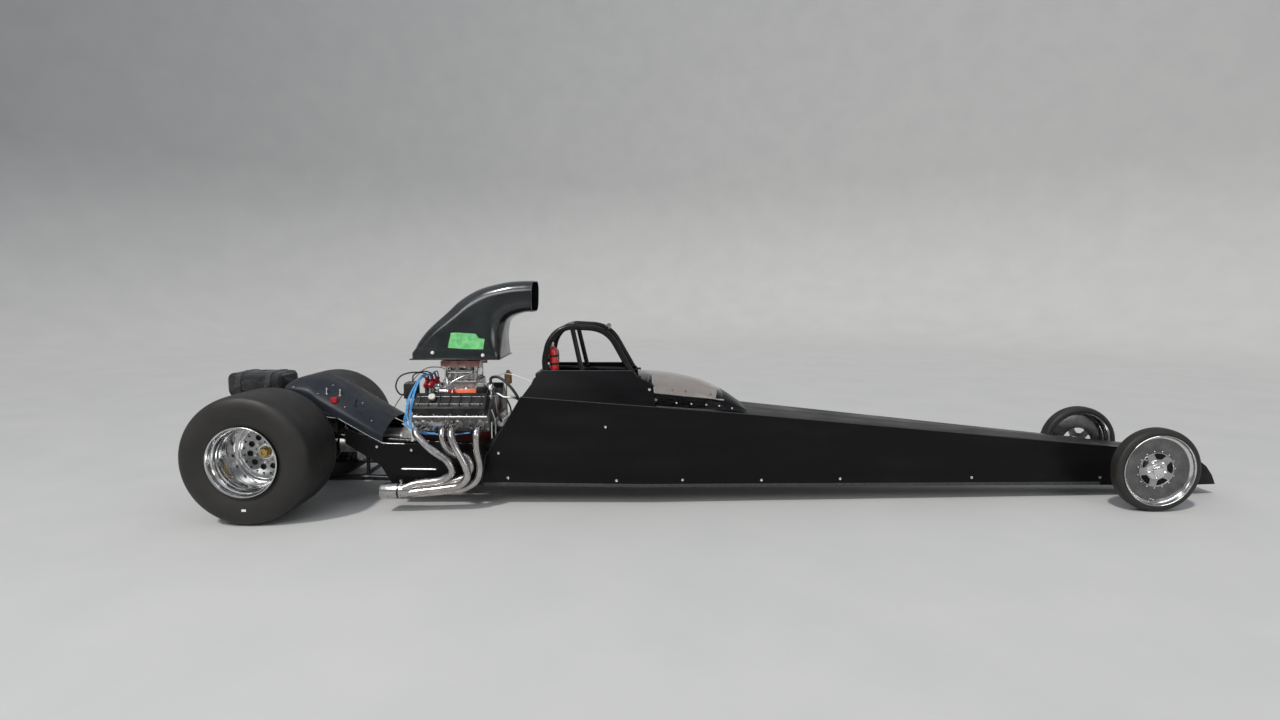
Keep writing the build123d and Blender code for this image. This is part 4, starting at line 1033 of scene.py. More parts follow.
def make_carburettor():
    """Throttle body, two float bowls, a brown top plate on bright posts, levers and fuel fittings."""
    body = Shape()
    body.block(at(1.0605, -0.0745, 0.8155), at(1.2695, 0.0745, 0.827), 0.002)
    body.block(at(1.086, -0.059, 0.827), at(1.244, 0.059, 0.88), 0.006)
    for x in (1.125, 1.205):
        for y in (-0.029, 0.029):
            body.lathe([(0.0, 0.022), (0.0, 0.028), (0.026, 0.027), (0.026, 0.023), (0.004, 0.019)],
                       at(x, y, 0.8795), "Z", 28)
    item = body.make("throttle_body", "cast_aluminium")
    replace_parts(item, "carburettor")
    bowls = Shape()
    for low, high, end in ((1.0505, 1.085, 1.0475), (1.245, 1.2795, 1.2825)):
        bowls.block(at(low, -0.0495, 0.84), at(high, 0.0495, 0.8945), 0.005)
        for y in (-0.04, 0.04):
            for z in (0.848, 0.886):
                bowls.bar(at((low + high) / 2, y, z), at(end, y, z), 0.004, 10, 0.0006)
    bowls.bar(at(1.165, 0, 0.9), at(1.165, 0, 0.9655), 0.061, 48)
    bowls.make("float_bowls", "polished")
    plate = Shape().block(at(1.0355, -0.1145, 0.9352), at(1.2995, 0.1145, 0.9498), 0.003)
    for edge in (-0.1145, 0.11):
        plate.block(at(1.0355, edge, 0.91), at(1.2995, edge + 0.0045, 0.94), 0.001)
    plate.make("carburettor_plate", "copper")
    posts = Shape()
    for x in (1.065, 1.265):
        for y in (-0.068, 0.068):
            posts.bar(at(x, y, 0.827), at(x, y, 0.9352), 0.006, 16)
            posts.bar(at(x, y, 0.827), at(x, y, 0.838), 0.0105, 6)
        for y in (-0.108, 0.108):
            posts.bar(at(x, y, 0.812), at(x, y, 0.912), 0.005, 16)
            posts.bar(at(x, y, 0.806), at(x, y, 0.818), 0.009, 6)
    posts.block(at(1.055, -0.12, 0.805), at(1.275, 0.12, 0.815), 0.001)
    posts.make("carburettor_posts", "machined")
    levers = Shape()
    turn = Matrix.Rotation(radians(32), 3, "Y")
    for sign in (-1, 1):
        for x in (1.125, 1.205):
            levers.bar(at(x, sign * 0.058, 0.838), at(x, sign * 0.08, 0.838), 0.005, 12)
            levers.block(at(x - 0.006, sign * 0.078 - 0.0015, 0.82),
                         at(x + 0.006, sign * 0.078 + 0.0015, 0.868), 0.001, turn)
        levers.bar(at(1.11, sign * 0.083, 0.858), at(1.222, sign * 0.083, 0.858), 0.0028, 10)
    levers.make("throttle_levers", "steel")
    for sign in (-1, 1):
        rail = Shape().bar(at(1.068, sign * 0.09, 0.868), at(1.262, sign * 0.09, 0.868), 0.0085, 18, 0.001)
        rail.make("fuel_rail_%d" % (sign + 1), "steel")
        for x in (1.0677, 1.2623):
            nut = Shape().bar(at(x, sign * 0.05, 0.868), at(x, sign * 0.066, 0.868), 0.0105, 6, 0.001)
            nut.bar(at(x, sign * 0.064, 0.868), at(x, sign * 0.1, 0.868), 0.0075, 14, 0.001)
            nut.make("fuel_fitting_%d_%d" % (sign + 1, round(x * 1000)), "red_plastic")


def make_manifold():
    """The cast manifold with its flanges, and the fuel gear that stands beside it."""
    eased("intake_manifold", "manifold", 0.004)
    rows = [((0.99 + 0.098 * i, sign * 0.078, 0.65), (0, sign * 0.4, 1), 0.012) for i in range(5)
            for sign in (-1, 1)]
    rows += [((x, y, 0.815), (0, 0, 1), 0.011) for x in (1.048, 1.282) for y in (-0.076, 0.076)]
    bolt_rows("manifold_bolts", rows)
    tray = Shape()
    for sign in (-1, 1):
        tray.block(at(1.125, sign * 0.128 - 0.024, 0.716), at(1.29, sign * 0.128 + 0.024, 0.758), 0.007,
                   Matrix.Rotation(radians(sign * 20), 3, "X"))
    tray.make("manifold_side_castings", "orange")
    valve = Shape()
    valve.lathe([(0.0, TIP), (0.0, 0.026), (0.008, 0.028), (0.012, 0.022), (0.048, 0.022), (0.052, 0.03),
                 (0.066, 0.03), (0.072, 0.02), (0.082, 0.018), (0.086, TIP)],
                at(1.022, -0.15, 0.716), "Z", 32)
    valve.bar(at(1.022, -0.15, 0.742), at(1.022, -0.19, 0.738), 0.016, 24, 0.002)
    valve.bar(at(1.022, -0.15, 0.776), at(1.022, -0.1, 0.79), 0.009, 16, 0.001)
    valve.make("fuel_valve", "polished")
    pump = Shape()
    pump.lathe([(0.0, TIP), (0.0, 0.02), (0.006, 0.024), (0.05, 0.024), (0.054, 0.019), (0.06, 0.019),
                (0.062, TIP)], at(1.042, -0.175, 0.748), "X", 30)
    for k in range(5):
        pump.lathe([(0.0, 0.0235), (0.0, 0.0268), (0.003, 0.0268), (0.003, 0.0235)],
                   at(1.05 + 0.008 * k, -0.175, 0.748), "X", 30)
    pump.make("fuel_pressure_body", "steel")
    small = Shape()
    for x in (1.092, 1.112, 1.132):
        small.bar(at(x, -0.166, 0.712), at(x, -0.166, 0.742), 0.009, 6, 0.001)
        small.bar(at(x, -0.166, 0.742), at(x, -0.166, 0.764), 0.0065, 14, 0.001)
    small.make("fuel_line_fittings", "red_plastic")
    lead("fuel_line_0", 0.0062, "braid", (1.092, -0.166, 0.76), (1.092, -0.166, 0.8), (1.08, -0.13, 0.846),
         (1.0677, -0.101, 0.868))
    lead("fuel_line_1", 0.0062, "braid", (1.112, -0.166, 0.76), (1.116, -0.168, 0.804),
         (1.18, -0.152, 0.842), (1.245, -0.122, 0.866), (1.2623, -0.101, 0.868))
    lead("rear_cable", 0.0032, "brass", (1.055, -0.03, 0.88), (1.0, -0.055, 0.9), (0.92, -0.06, 0.892),
         (0.85, -0.05, 0.838), (0.77, -0.03, 0.745), (0.69, -0.012, 0.64), (0.652, 0.0, 0.575))
    row = Shape()
    for k in range(7):
        row.bar(at(1.15 + 0.019 * k, -0.196, 0.722), at(1.15 + 0.019 * k, -0.2, 0.734), 0.0052, 12, 0.001)
    row.block(at(1.135, -0.206, 0.716), at(1.285, -0.186, 0.723), 0.002)
    row.make("manifold_side_plugs", "white")


def make_front_end():
    """The front of the engine: cover, pump and damper, the water neck and the hoses to the body."""
    eased("front_drive", "front_cover", 0.003)
    damper = Shape().lathe([(0.0, 0.05), (0.0, 0.0835), (0.01, 0.084), (0.013, 0.079), (0.018, 0.079),
                            (0.021, 0.084), (0.04, 0.084), (0.046, 0.08), (0.046, 0.05)],
                           at(1.4565, 0, CRANK), "X", 64)
    damper.make("crank_damper", "pan_black")
    hub = Shape()
    for k in range(6):
        a = radians(60 * k)
        hexagon_bolt(hub, at(1.503, 0.034 * cos(a), CRANK + 0.034 * sin(a)), (1, 0, 0), 0.012)
        hexagon_bolt(hub, at(1.508, 0.04 * cos(a), CRANK + 0.14 + 0.04 * sin(a)), (1, 0, 0), 0.009)
    hexagon_bolt(hub, at(1.503, 0, CRANK), (1, 0, 0), 0.026)
    hub.make("damper_bolts", "machined")
    neck = Shape()
    neck.lathe([(0.0, TIP), (0.0, 0.03), (0.01, 0.032), (0.014, 0.021), (0.05, 0.019), (0.056, 0.026),
                (0.07, 0.026), (0.078, 0.02), (0.092, 0.018), (0.095, TIP)],
               at(1.378, -0.15, 0.705), "Z", 30)
    neck.make("water_neck", "polished")
    box = Shape().block(at(1.285, -0.178, 0.712), at(1.352, -0.118, 0.778), 0.006)
    box.make("throttle_box", "pan_black")
    lid = Shape().block(at(1.29, -0.172, 0.778), at(1.338, -0.126, 0.806), 0.004)
    lid.bar(at(1.338, -0.149, 0.792), at(1.352, -0.149, 0.792), 0.011, 6, 0.001)
    lid.make("throttle_box_lid", "steel")
    lead("water_hose", 0.0095, "hose", (1.38, -0.15, 0.798), (1.384, -0.152, 0.838), (1.44, -0.18, 0.846),
         (1.51, -0.205, 0.8), (1.57, -0.215, 0.72), (1.59, -0.19, 0.64))
    lead("front_braid", 0.0085, "braid", (1.44, -0.13, 0.535), (1.42, -0.17, 0.64), (1.425, -0.19, 0.735),
         (1.48, -0.205, 0.718), (1.54, -0.205, 0.716), (1.58, -0.17, 0.69))
    lead("front_lead", 0.004, "white", (1.35, -0.135, 0.8), (1.4, -0.12, 0.84), (1.47, -0.11, 0.862),
         (1.56, -0.115, 0.842), (1.652, -0.13, 0.805))
    tank = Shape()
    tank.lathe([(0.0, TIP), (0.0, 0.02), (0.004, 0.026), (0.074, 0.026), (0.078, 0.02), (0.084, 0.012),
                (0.094, 0.012), (0.096, TIP)], at(1.455, 0.06, 0.77), "Z", 30)
    tank.block(at(1.4385, 0.052, 0.54), at(1.4445, 0.068, 0.845), 0.001)
    tank.make("overflow_can", "tan")


def make_lower_engine():
    # The heads wear the darker copy of the cast aluminium: painted shade, since they stand in shadow.
    for node, name, width, look in (("engine_block", "block", 0.005, None),
                                    ("cylinder_head_right", "head_right", 0.003, "dark_cast"),
                                    ("cylinder_head_left", "head_left", 0.003, "dark_cast"),
                                    ("oil_pan", "sump", 0.006, None),
                                    ("transmission", "gearbox", 0.005, None),
                                    ("motor_plates", "plates", 0.0012, None)):
        eased(node, name, width, look)
    rows = []
    for sign in (-1, 1):
        rows += [((0.915 + 0.0575 * i, sign * 0.112, 0.277), (0, 0, -1), 0.009) for i in range(9)]
        rows += [((0.93 + 0.145 * i, sign * 0.1305, 0.32), (0, sign, 0), 0.013) for i in range(4)]
        rows += [((x, sign * 0.1055, z), (0, sign, 0), 0.01) for x in (0.47, 0.59, 0.712)
                 for z in (0.27, 0.425)]
        for a in (20, 60, 100, 140, 180):
            t = radians(a - 90)
            rows.append(((0.8735, sign * 0.184 * cos(t), CRANK + 0.184 * sin(t)), (-1, 0, 0), 0.012))
    bolt_rows("engine_bolts", rows)
    plugs = Shape()
    for sign in (-1, 1):
        for i in range(3):
            plugs.lathe([(sign * -0.001, TIP), (sign * -0.001, 0.026), (sign * 0.003, 0.026),
                         (sign * 0.003, 0.021), (sign * 0.001, 0.02), (sign * 0.001, TIP)],
                        at(1.0 + 0.145 * i, sign * 0.13, CRANK), "Y", 32)
    plugs.make("core_plugs", "brass")
    ribs = Shape()
    for k in range(5):
        ribs.block(at(0.465 + 0.062 * k, -0.107, 0.3), at(0.473 + 0.062 * k, 0.107, 0.395), 0.002)
    for k in range(8):
        ribs.block(at(0.915 + 0.03 * k, -0.1, 0.16), at(0.921 + 0.03 * k, 0.1, 0.166), 0.002)
    ribs.make("case_ribs", "cast_aluminium")
    lip = Shape().lathe([(0.0, 0.15), (0.0, 0.1955), (0.008, 0.1955), (0.008, 0.15)],
                        at(0.8738, 0, CRANK), "X", 64)
    lip.make("bell_flange", "cast_aluminium")
    for side, sign in SIDES:
        outline = ((0.809, 0.547), (0.905, 0.598), (0.916, 0.56), (0.895, 0.5), (0.88, 0.42), (0.866, 0.42),
                   (0.87, 0.47), (0.846, 0.52))
        rings = [[at(x, sign * y, z) for x, z in outline] for y in (0.2515, 0.2545)]
        Shape().rings(rings).make("rear_shield_" + side, "polished")
        lead("breather_line_" + side, 0.0065, "steel", (1.4, sign * 0.235, 0.64),
             (1.428, sign * 0.255, 0.56), (1.43, sign * 0.262, 0.48), (1.432, sign * 0.262, 0.424))
        rod = Shape().bar(at(0.815, sign * 0.302, 0.256), at(1.04, sign * 0.3, 0.251), 0.0055, 14, 0.001)
        for x in (0.835, 1.015):
            low, high = at(x, sign * 0.2955 - 0.0095, 0.248), at(x + 0.008, sign * 0.2955 + 0.0095, 0.258)
            rod.block(low, high, 0.001)
        rod.make("shift_rod_" + side, "machined")


for side, sign in SIDES:
    make_valve_cover(side, sign)
    make_plugs(side, sign)
make_distributor()
make_carburettor()
make_manifold()
make_front_end()
make_lower_engine()


# Exhaust headers

PRIMARY_RADIUS = 0.0235
# Routes of the four primary tubes of the right side: station, distance from the centre plane, height.
HEADER_ROUTES = (
    ((0.974, 0.286, 0.553), (0.93, 0.4, 0.528), (1.042, 0.424, 0.419), (1.16, 0.424, 0.34),
     (1.19, 0.424, 0.262), (1.11, 0.424, 0.212), (0.94, 0.42, 0.192)),
    ((1.112, 0.286, 0.553), (1.105, 0.374, 0.52), (1.118, 0.376, 0.43), (1.175, 0.376, 0.372),
     (1.262, 0.38, 0.362), (1.3, 0.384, 0.3), (1.262, 0.388, 0.222), (1.13, 0.4, 0.19),
     (0.94, 0.404, 0.165)),
    ((1.198, 0.286, 0.553), (1.166, 0.4, 0.528), (1.196, 0.424, 0.447), (1.262, 0.428, 0.325),
     (1.288, 0.428, 0.24), (1.232, 0.428, 0.178), (1.1, 0.426, 0.158), (0.94, 0.43, 0.14)),
    ((1.34, 0.286, 0.553), (1.328, 0.374, 0.519), (1.326, 0.378, 0.41), (1.352, 0.378, 0.29),
     (1.33, 0.38, 0.196), (1.24, 0.384, 0.142), (0.94, 0.4, 0.118)),
)
# The outlet sleeve: the stations of its end and of its joint, its distance from the centre plane, its height.
OUTLET = (0.724, 0.852, 0.418, 0.146)


def make_header(side, sign):
    """Four primary tubes, their collector, the sleeve at its end, and the clamp that joins them."""
    shape = Shape()
    rear, joint, wide, height = OUTLET
    merges = ((0.0185, 0.0185), (-0.0185, 0.0185), (0.0185, -0.0185), (-0.0185, -0.0185))
    for route, out in zip(HEADER_ROUTES, merges):
        points = [at(x, sign * y, z) for x, y, z in route]
        end = at(joint + 0.01, sign * (wide + out[0]), height + out[1])
        path = rounded([*points, end], 0.47, 9)
        shape.tube(path, [PRIMARY_RADIUS] * (len(path) - 3) + [0.023, 0.0222, 0.0215], 20)
        collar = points[0].lerp(points[1], 0.06)
        shape.tube([points[0], collar], 0.0285, 20)
    merge = [(0.08, 0.025), (0.06, 0.033), (0.03, 0.042), (0.012, 0.0472), (0.0, 0.0475), (0.0, 0.025)]
    shape.lathe(merge, at(joint, sign * wide, height), "X", 48)
    sleeve = [(rear, 0.048), (rear + 0.002, 0.0488), (joint - 0.022, 0.049), (joint - 0.02, 0.049),
              (joint - 0.02, 0.0462), (rear, 0.0462)]
    shape.lathe(sleeve, at(0, sign * wide, height), "X", 56)
    item = shape.make("headers_" + side, "header_steel")
    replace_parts(item, "header_" + side)
    gap = Shape().lathe([(joint - 0.021, 0.0452), (joint - 0.021, 0.0475), (joint - 0.006, 0.0475),
                         (joint - 0.006, 0.0452)], at(0, sign * wide, height), "X", 48)
    gap.make("header_joint_" + side, "dark")
    band = Shape().lathe([(joint - 0.007, 0.048), (joint - 0.007, 0.0508), (joint + 0.006, 0.0508),
                          (joint + 0.006, 0.048)], at(0, sign * wide, height), "X", 48)
    top = at(joint, sign * wide, height + 0.05)
    band.block(top + Vector((-0.006, -0.006, 0)), top + Vector((0.008, 0.006, 0.022)), 0.0015)
    hexagon_bolt(band, top + Vector((0.001, -0.01, 0.014)), (0, -1, 0), 0.009)
    band.bar(top + Vector((0.001, 0.0, 0.014)), top + Vector((0.001, 0.014, 0.014)), 0.0035, 10)
    for angle in (215, 325):
        a = radians(angle)
        out = Vector((0, cos(a), sin(a)))
        spot = at(rear + 0.05, sign * wide, height) + out * 0.0485
        band.bar(spot, spot + out * 0.006, 0.006, 12, 0.001)
    band.make("header_clamp_" + side, "header_steel")
    make_port_flange(side, sign)


def make_port_flange(side, sign):
    """The long flange on the head with two bolts between the ports."""
    foot = (0.2667, CRANK + 0.1538)
    head = (0.3069, CRANK + 0.2343)
    way = Vector((0, sign * (head[0] - foot[0]), head[1] - foot[1])).normalized()
    out = Vector((0, sign * way.z, -abs(way.y)))
    centre = Vector((0, sign * (foot[0] + head[0]) / 2, (foot[1] + head[1]) / 2))
    bolts = Shape()
    for station in (0.922, 1.026, 1.155, 1.275, 1.382):
        for lift in (-0.03, 0.03):
            spot = at(station, 0, 0) + centre + way * lift + out * 0.0072
            hexagon_bolt(bolts, spot, out, 0.0125)
    bolts.make("header_bolts_" + side, "machined")
    plate = Shape()
    for station in (0.974, 1.112, 1.198, 1.34):
        ring = [at(station + 0.046 * cos(2 * pi * k / 28), 0, 0) + centre
                + way * 0.041 * sin(2 * pi * k / 28) for k in range(28)]
        plate.rings([[p + out * 0.0002 for p in ring], [p + out * 0.0078 for p in ring]])
    strip = [(-1, -1), (1, -1), (1, 1), (-1, 1)]
    ends = [at(station, 0, 0) + centre for station in (0.906, 1.386)]
    plate.rings([[end + way * 0.024 * v + out * (0.0036 + 0.0034 * u) for u, v in strip] for end in ends])
    plate.make("header_flange_" + side, "header_steel")


for side, sign in SIDES:
    make_header(side, sign)


# Soft goods and cockpit

def slab(line, half_width, thick, corner=0.018):
    """A pad along a line of (station, height) points: its width lies across the car."""
    rings = []
    for i, (x, z) in enumerate(line):
        ahead, behind = line[min(i + 1, len(line) - 1)], line[max(i - 1, 0)]
        way = Vector((ahead[0] - behind[0], 0, ahead[1] - behind[1])).normalized()
        normal = Vector((0, 1, 0)).cross(way)
        last = i in (0, len(line) - 1)
        width, deep = half_width * (0.96 if last else 1), thick / 2 * (0.6 if last else 1)
        rings.append([at(x, y, z) + normal * up
                      for y, up in rounded_corners(width, deep, min(corner, deep * 0.9), 6)])
    return Shape().rings(rings)


# Frames for which the soft pieces are blown up.
CLOTH_STEPS = 20


def swollen(name, shape, voxel, cap):
    """The form remeshed and blown up a little as cloth, each point moving no further than the cap."""
    start = placed(name, mesh_of(name, shape, MERGE))
    remesh = start.modifiers.new("voxels", "REMESH")
    remesh.mode = "VOXEL"
    remesh.voxel_size = voxel * 1
    mesh = evaluated(start)
    bpy.data.objects.remove(start)
    before = [v.co.copy() for v in mesh.vertices]
    blown = placed(name, mesh)
    cloth = blown.modifiers.new("cloth", "CLOTH")
    settings = cloth.settings
    settings.quality = 5
    settings.mass = 0.3
    settings.tension_stiffness = settings.compression_stiffness = 12
    settings.shear_stiffness = 4
    settings.bending_stiffness = 0.4
    settings.use_pressure = True
    settings.uniform_pressure_force = 4.0
    settings.effector_weights.gravity = 0
    cloth.collision_settings.use_collision = False
    for step in range(1, CLOTH_STEPS + 1):
        bpy.context.scene.frame_set(step)
    done = evaluated(blown)
    for vert, old in zip(done.vertices, before):
        move = vert.co - old
        if move.length > cap:
            vert.co = old + move.normalized() * cap
    bpy.data.objects.remove(blown)
    bpy.context.scene.frame_set(1)
    return done


def pad(name, shape, voxel, cap, look="pad", node=None, low=None, high=None):
    """A padded piece: swollen, kept inside a box if one is given, and subdivided once."""
    mesh = swollen(name, shape, voxel, cap)
    if low:
        for vert in mesh.vertices:
            for k in range(3):
                vert.co[k] = min(max(vert.co[k], low[k]), high[k])
    item = wear(name, mesh, look)
    mesh.shade_smooth()
    finer = item.modifiers.new("finer", "SUBSURF")
    finer.levels = finer.render_levels = 1
    if node:
        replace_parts(item, node)
    return item


def laid(mesh, points, lift):
    """The points moved onto a mesh, at a height above it."""
    tree = BVHTree.FromPolygons([v.co for v in mesh.vertices], [tuple(p.vertices) for p in mesh.polygons])
    made = []
    for point in points:
        place, normal, face, far = tree.find_nearest(Vector(point))
        made.append(place + normal * lift)
    return made


def dense(points, gap=0.006):
    """A path of straight runs with a point at every gap."""
    made = []
    for a, b in zip(points, points[1:]):
        a, b = Vector(a), Vector(b)
        count = max(int((b - a).length / gap), 1)
        made += [a.lerp(b, k / count) for k in range(count)]
    return made + [Vector(points[-1])]


def eased_path(points, rounds=3):
    """The same path with its bumps averaged out and its ends kept."""
    for turn in range(rounds):
        middles = [(a + b * 2 + c) / 4 for a, b, c in zip(points, points[1:], points[2:])]
        points = [points[0], *middles, points[-1]]
    return points


def webbing(shape, points, width, across, thick=0.0022):
    """Flat webbing through points that are already close together."""
    across = Vector(across).normalized() * width / 2
    rings = []
    for i, point in enumerate(points):
        way = (points[min(i + 1, len(points) - 1)] - points[max(i - 1, 0)]).normalized()
        side = (across - way * across.dot(way)).normalized() * width / 2
        lift = way.cross(side).normalized() * thick / 2
        rings.append([point - side - lift, point + side - lift, point + side + lift, point - side + lift])
    return shape.rings(rings)


# The seat back's front face as (height, station).
SEAT_BACK = ((0.29, 1.65), (0.56, 1.7), (0.862, 1.772))


def make_seat():
    eased("seat", "seat_shell", 0.0016)
    back = [(between(SEAT_BACK, z) + 0.03, z) for z in (0.33, 0.35, 0.45, 0.56, 0.68, 0.78, 0.835, 0.85)]
    rest = pad("seat_back_pad", slab(back, 0.155, 0.04), 0.007, 0.008).data
    base = [(x, 0.246 - (x - 1.74) * 0.047) for x in (1.745, 1.765, 1.85, 1.95, 2.04, 2.065)]
    bottom = pad("seat_cushion", slab(base, 0.165, 0.04), 0.007, 0.008).data
    seams = Shape()
    for z in (0.42, 0.5, 0.58, 0.66, 0.74):
        seams.tube(laid(rest, dense([at(between(SEAT_BACK, z) + 0.08, y, z) for y in (-0.138, 0.138)]),
                        0.0004), 0.0016, 8)
    for x in (1.84, 1.92, 2.0):
        seams.tube(laid(bottom, dense([at(x, y, 0.3) for y in (-0.145, 0.145)]), 0.0004), 0.0016, 8)
    seams.make("seat_channels", "seat_black")
    belts = Shape()
    for sign in (-1, 1):
        hang = [at(1.77, sign * 0.075, 0.962), at(1.792, sign * 0.078, 0.915),
                at(between(SEAT_BACK, 0.85) + 0.04, sign * 0.08, 0.862)]
        on_pad = laid(rest, dense([at(between(SEAT_BACK, z) + 0.08, sign * (0.08 - (0.8 - z) * 0.03), z)
                                   for z in (0.835, 0.36)]), 0.0026)
        lap_end = [at(1.79, sign * 0.06, 0.302), at(1.83, sign * 0.032, 0.288)]
        webbing(belts, eased_path(dense(hang) + on_pad + dense(lap_end)), 0.048, (0, 1, 0))
        lap = dense([at(1.735, sign * 0.186, 0.33), at(1.765, sign * 0.158, 0.302)])
        lap += laid(bottom, dense([at(1.785, sign * 0.135, 0.34), at(1.84, sign * 0.04, 0.34)]), 0.0026)
        webbing(belts, eased_path(lap), 0.048, (1, sign * -0.35, 0))
    strap = laid(bottom, dense([at(1.85, 0, 0.34), at(2.055, 0, 0.34)]), 0.0026)
    webbing(belts, eased_path(strap), 0.045, (0, 1, 0))
    belts.make("harness", "webbing")
    metal = Shape()
    metal.lathe([(0.0, TIP), (0.0, 0.031), (0.01, 0.033), (0.016, 0.03), (0.018, TIP)], at(1.845, 0, 0.272),
                "Z", 32)
    metal.block(at(1.838, -0.028, 0.289), at(1.852, 0.028, 0.295), 0.002)
    for sign in (-1, 1):
        spot = laid(rest, [at(between(SEAT_BACK, 0.6) + 0.08, sign * 0.074, 0.6)], 0.006)[0]
        metal.block(spot - Vector((0.002, 0.029, 0.013)), spot + Vector((0.002, 0.029, 0.013)), 0.0012)
    metal.make("harness_buckles", "steel")


def make_head_rest():
    low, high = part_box("head_rest")
    middle = (low.x + high.x) / 2 - AXLE_X
    heights = (low.z + 0.004, low.z + 0.02, (low.z + high.z) / 2, high.z - 0.02, high.z - 0.004)
    line = [(middle, z) for z in heights]
    pad("head_pad", slab(line, 0.088, 0.044), 0.005, 0.006, "pad", "head_rest",
        (low.x, low.y, low.z - 0.004), (high.x + 0.006, high.y, high.z + 0.004))


def make_hand_wheel():
    """The butterfly wheel: foam grips on a bent tube, a flat spider and a quick-release hub."""
    frame_tube, foam, hub = Shape(), Shape(), Shape()
    for sign in (-1, 1):
        grip = [at(2.275, sign * 0.07, 0.7), at(2.262, sign * 0.125, 0.705), at(2.252, sign * 0.13, 0.76),
                at(2.242, sign * 0.1, 0.8)]
        path = rounded(grip, 0.45, 8)
        frame_tube.tube(path, 0.0085, 16)
        foam.tube(path[5:], [0.0085] + [0.0112] * (len(path) - 7) + [0.008], 16)
        foam.bar(path[-1] - Vector((0, 0, 0.004)), path[-1] + Vector((0, 0, 0.002)), 0.01, 14, 0.002)
    frame_tube.bar(at(2.275, -0.075, 0.7), at(2.275, 0.075, 0.7), 0.01, 18)
    way = Vector((0.038, 0, -0.008)).normalized()
    base = at(2.262, 0, 0.703)
    stops = (0.0, 0.002, 0.01, 0.012, 0.026, 0.028, 0.036, 0.0385)
    hub.tube([base + way * s for s in stops], [0.02, 0.0255, 0.0255, 0.02, 0.02, 0.0245, 0.0245, 0.02], 32)
    item = frame_tube.make("wheel_tube", "frame_paint", "hand_wheel")
    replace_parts(item, "steering_wheel")
    foam.make("wheel_grips", "rubber", "hand_wheel")
    for k in range(6):
        a = radians(60 * k + 30)
        spot = base + Vector((0, 0.016 * cos(a), 0.016 * sin(a)))
        hub.bar(spot - way * 0.002, spot + way * 0.002, 0.0028, 10)
    hub.make("wheel_hub", "machined", "hand_wheel")


def make_dash():
    """The board with three plain dials, a row of switches and a round lamp hood on top."""
    eased("dash_panel", "dash_board", 0.0012)
    eased("steering_column", "column", 0.001)
    tilt = Vector((0.16, 0, 0.018)).normalized()
    bezels, faces, marks = Shape(), Shape(), Shape()
    for y, z, radius in ((-0.125, 0.735, 0.04), (0.0, 0.758, 0.034), (0.125, 0.735, 0.04)):
        centre = at(2.3925 - (z - 0.64) * 0.1125, y, z)
        out = -tilt
        bezels.tube([centre + out * along for along in (0.0, 0.01, 0.012, 0.012, 0.009)],
                    [radius, radius, radius - 0.001, radius - 0.006, radius - 0.007], 40, False)
        faces.bar(centre, centre + out * 0.0085, radius - 0.006, 40)
        up = Vector((0, 1, 0)).cross(out)
        for k in range(11):
            a = radians(-30 + 24 * k)
            ray = Vector((0, 1, 0)) * cos(a) + up * sin(a)
            spot = centre + out * 0.0088 + ray * (radius - 0.012)
            marks.bar(spot - ray * 0.003, spot + ray * 0.003, 0.0009, 6)
        foot = centre + out * 0.0092
        hand = (up + Vector((0, 0.6, 0))).normalized()
        marks.bar(foot, foot + hand * radius * 0.6, 0.001, 6)
    bezels.make("dial_rims", "machined")
    faces.make("dial_faces", "dark")
    marks.make("dial_marks", "white")
    switches = Shape()
    for k in range(5):
        foot = at(2.3925 - (0.69 - 0.64) * 0.1125, -0.2 + 0.022 * k, 0.69)
        switches.bar(foot, foot + Vector((-0.006, 0, 0)), 0.0075, 6)
        switches.tube([foot + Vector((-0.006, 0, 0)), foot + Vector((-0.022, 0, 0.006))],
                      [0.0022, 0.0034], 10)
    switches.make("switches", "machined")
    hood = Shape()
    hood.lathe([(0.0, TIP), (0.0, 0.024), (0.006, 0.029), (0.06, 0.029), (0.06, TIP)],
               at(2.38, -0.08, 0.812), "X", 36)
    hood.block(at(2.374, -0.086, 0.77), at(2.384, -0.074, 0.8), 0.002)
    hood.make("lamp_hood", "pan_black")
    ring = Shape().lathe([(0.0, 0.026), (0.0, 0.0305), (0.006, 0.0305), (0.006, 0.026)],
                         at(2.436, -0.08, 0.812), "X", 36)
    ring.make("lamp_hood_rim", "polished")


def make_bottle():
    """The red bottle with its valve head, gauge and two clamps."""
    base, top = at(1.812, -0.162, 0.89), at(1.8, -0.162, 1.05)
    way = (top - base).normalized()
    sizes = ((0.0, 0.014), (0.001, 0.024), (0.006, 0.0295), (0.012, 0.03), (0.128, 0.03), (0.142, 0.027),
             (0.152, 0.019), (0.158, 0.0135), (0.163, 0.0135))
    body = Shape().tube([base + way * s for s, r in sizes], [r for s, r in sizes], 36)
    item = body.make("pressure_bottle", "red_paint")
    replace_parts(item, "fire_bottle")
    head = Shape()
    sizes = ((0.16, 0.0125), (0.163, 0.0125), (0.1635, 0.0105), (0.178, 0.0105), (0.179, 0.0125),
             (0.188, 0.012), (0.19, 0.008))
    head.tube([base + way * s for s, r in sizes], [r for s, r in sizes], 24)
    head.bar(base + way * 0.172, base + way * 0.172 + Vector((0, -0.02, 0)), 0.006, 14, 0.001)
    head.make("bottle_head", "machined")
    bands = Shape()
    for s in (0.04, 0.092):
        bands.tube([base + way * (s + along) for along in (0.0, 0.001, 0.013, 0.014)],
                   [0.0301, 0.0312, 0.0312, 0.0301], 36)
    bands.block(at(1.7525, -0.1755, 0.9465), at(1.786, -0.1485, 0.9735), 0.002)
    bands.make("bottle_clamps", "pan_black")


make_seat()
make_head_rest()
make_hand_wheel()
make_dash()
make_bottle()


# Deck fittings, parachute pack, rear axle, panels and trim

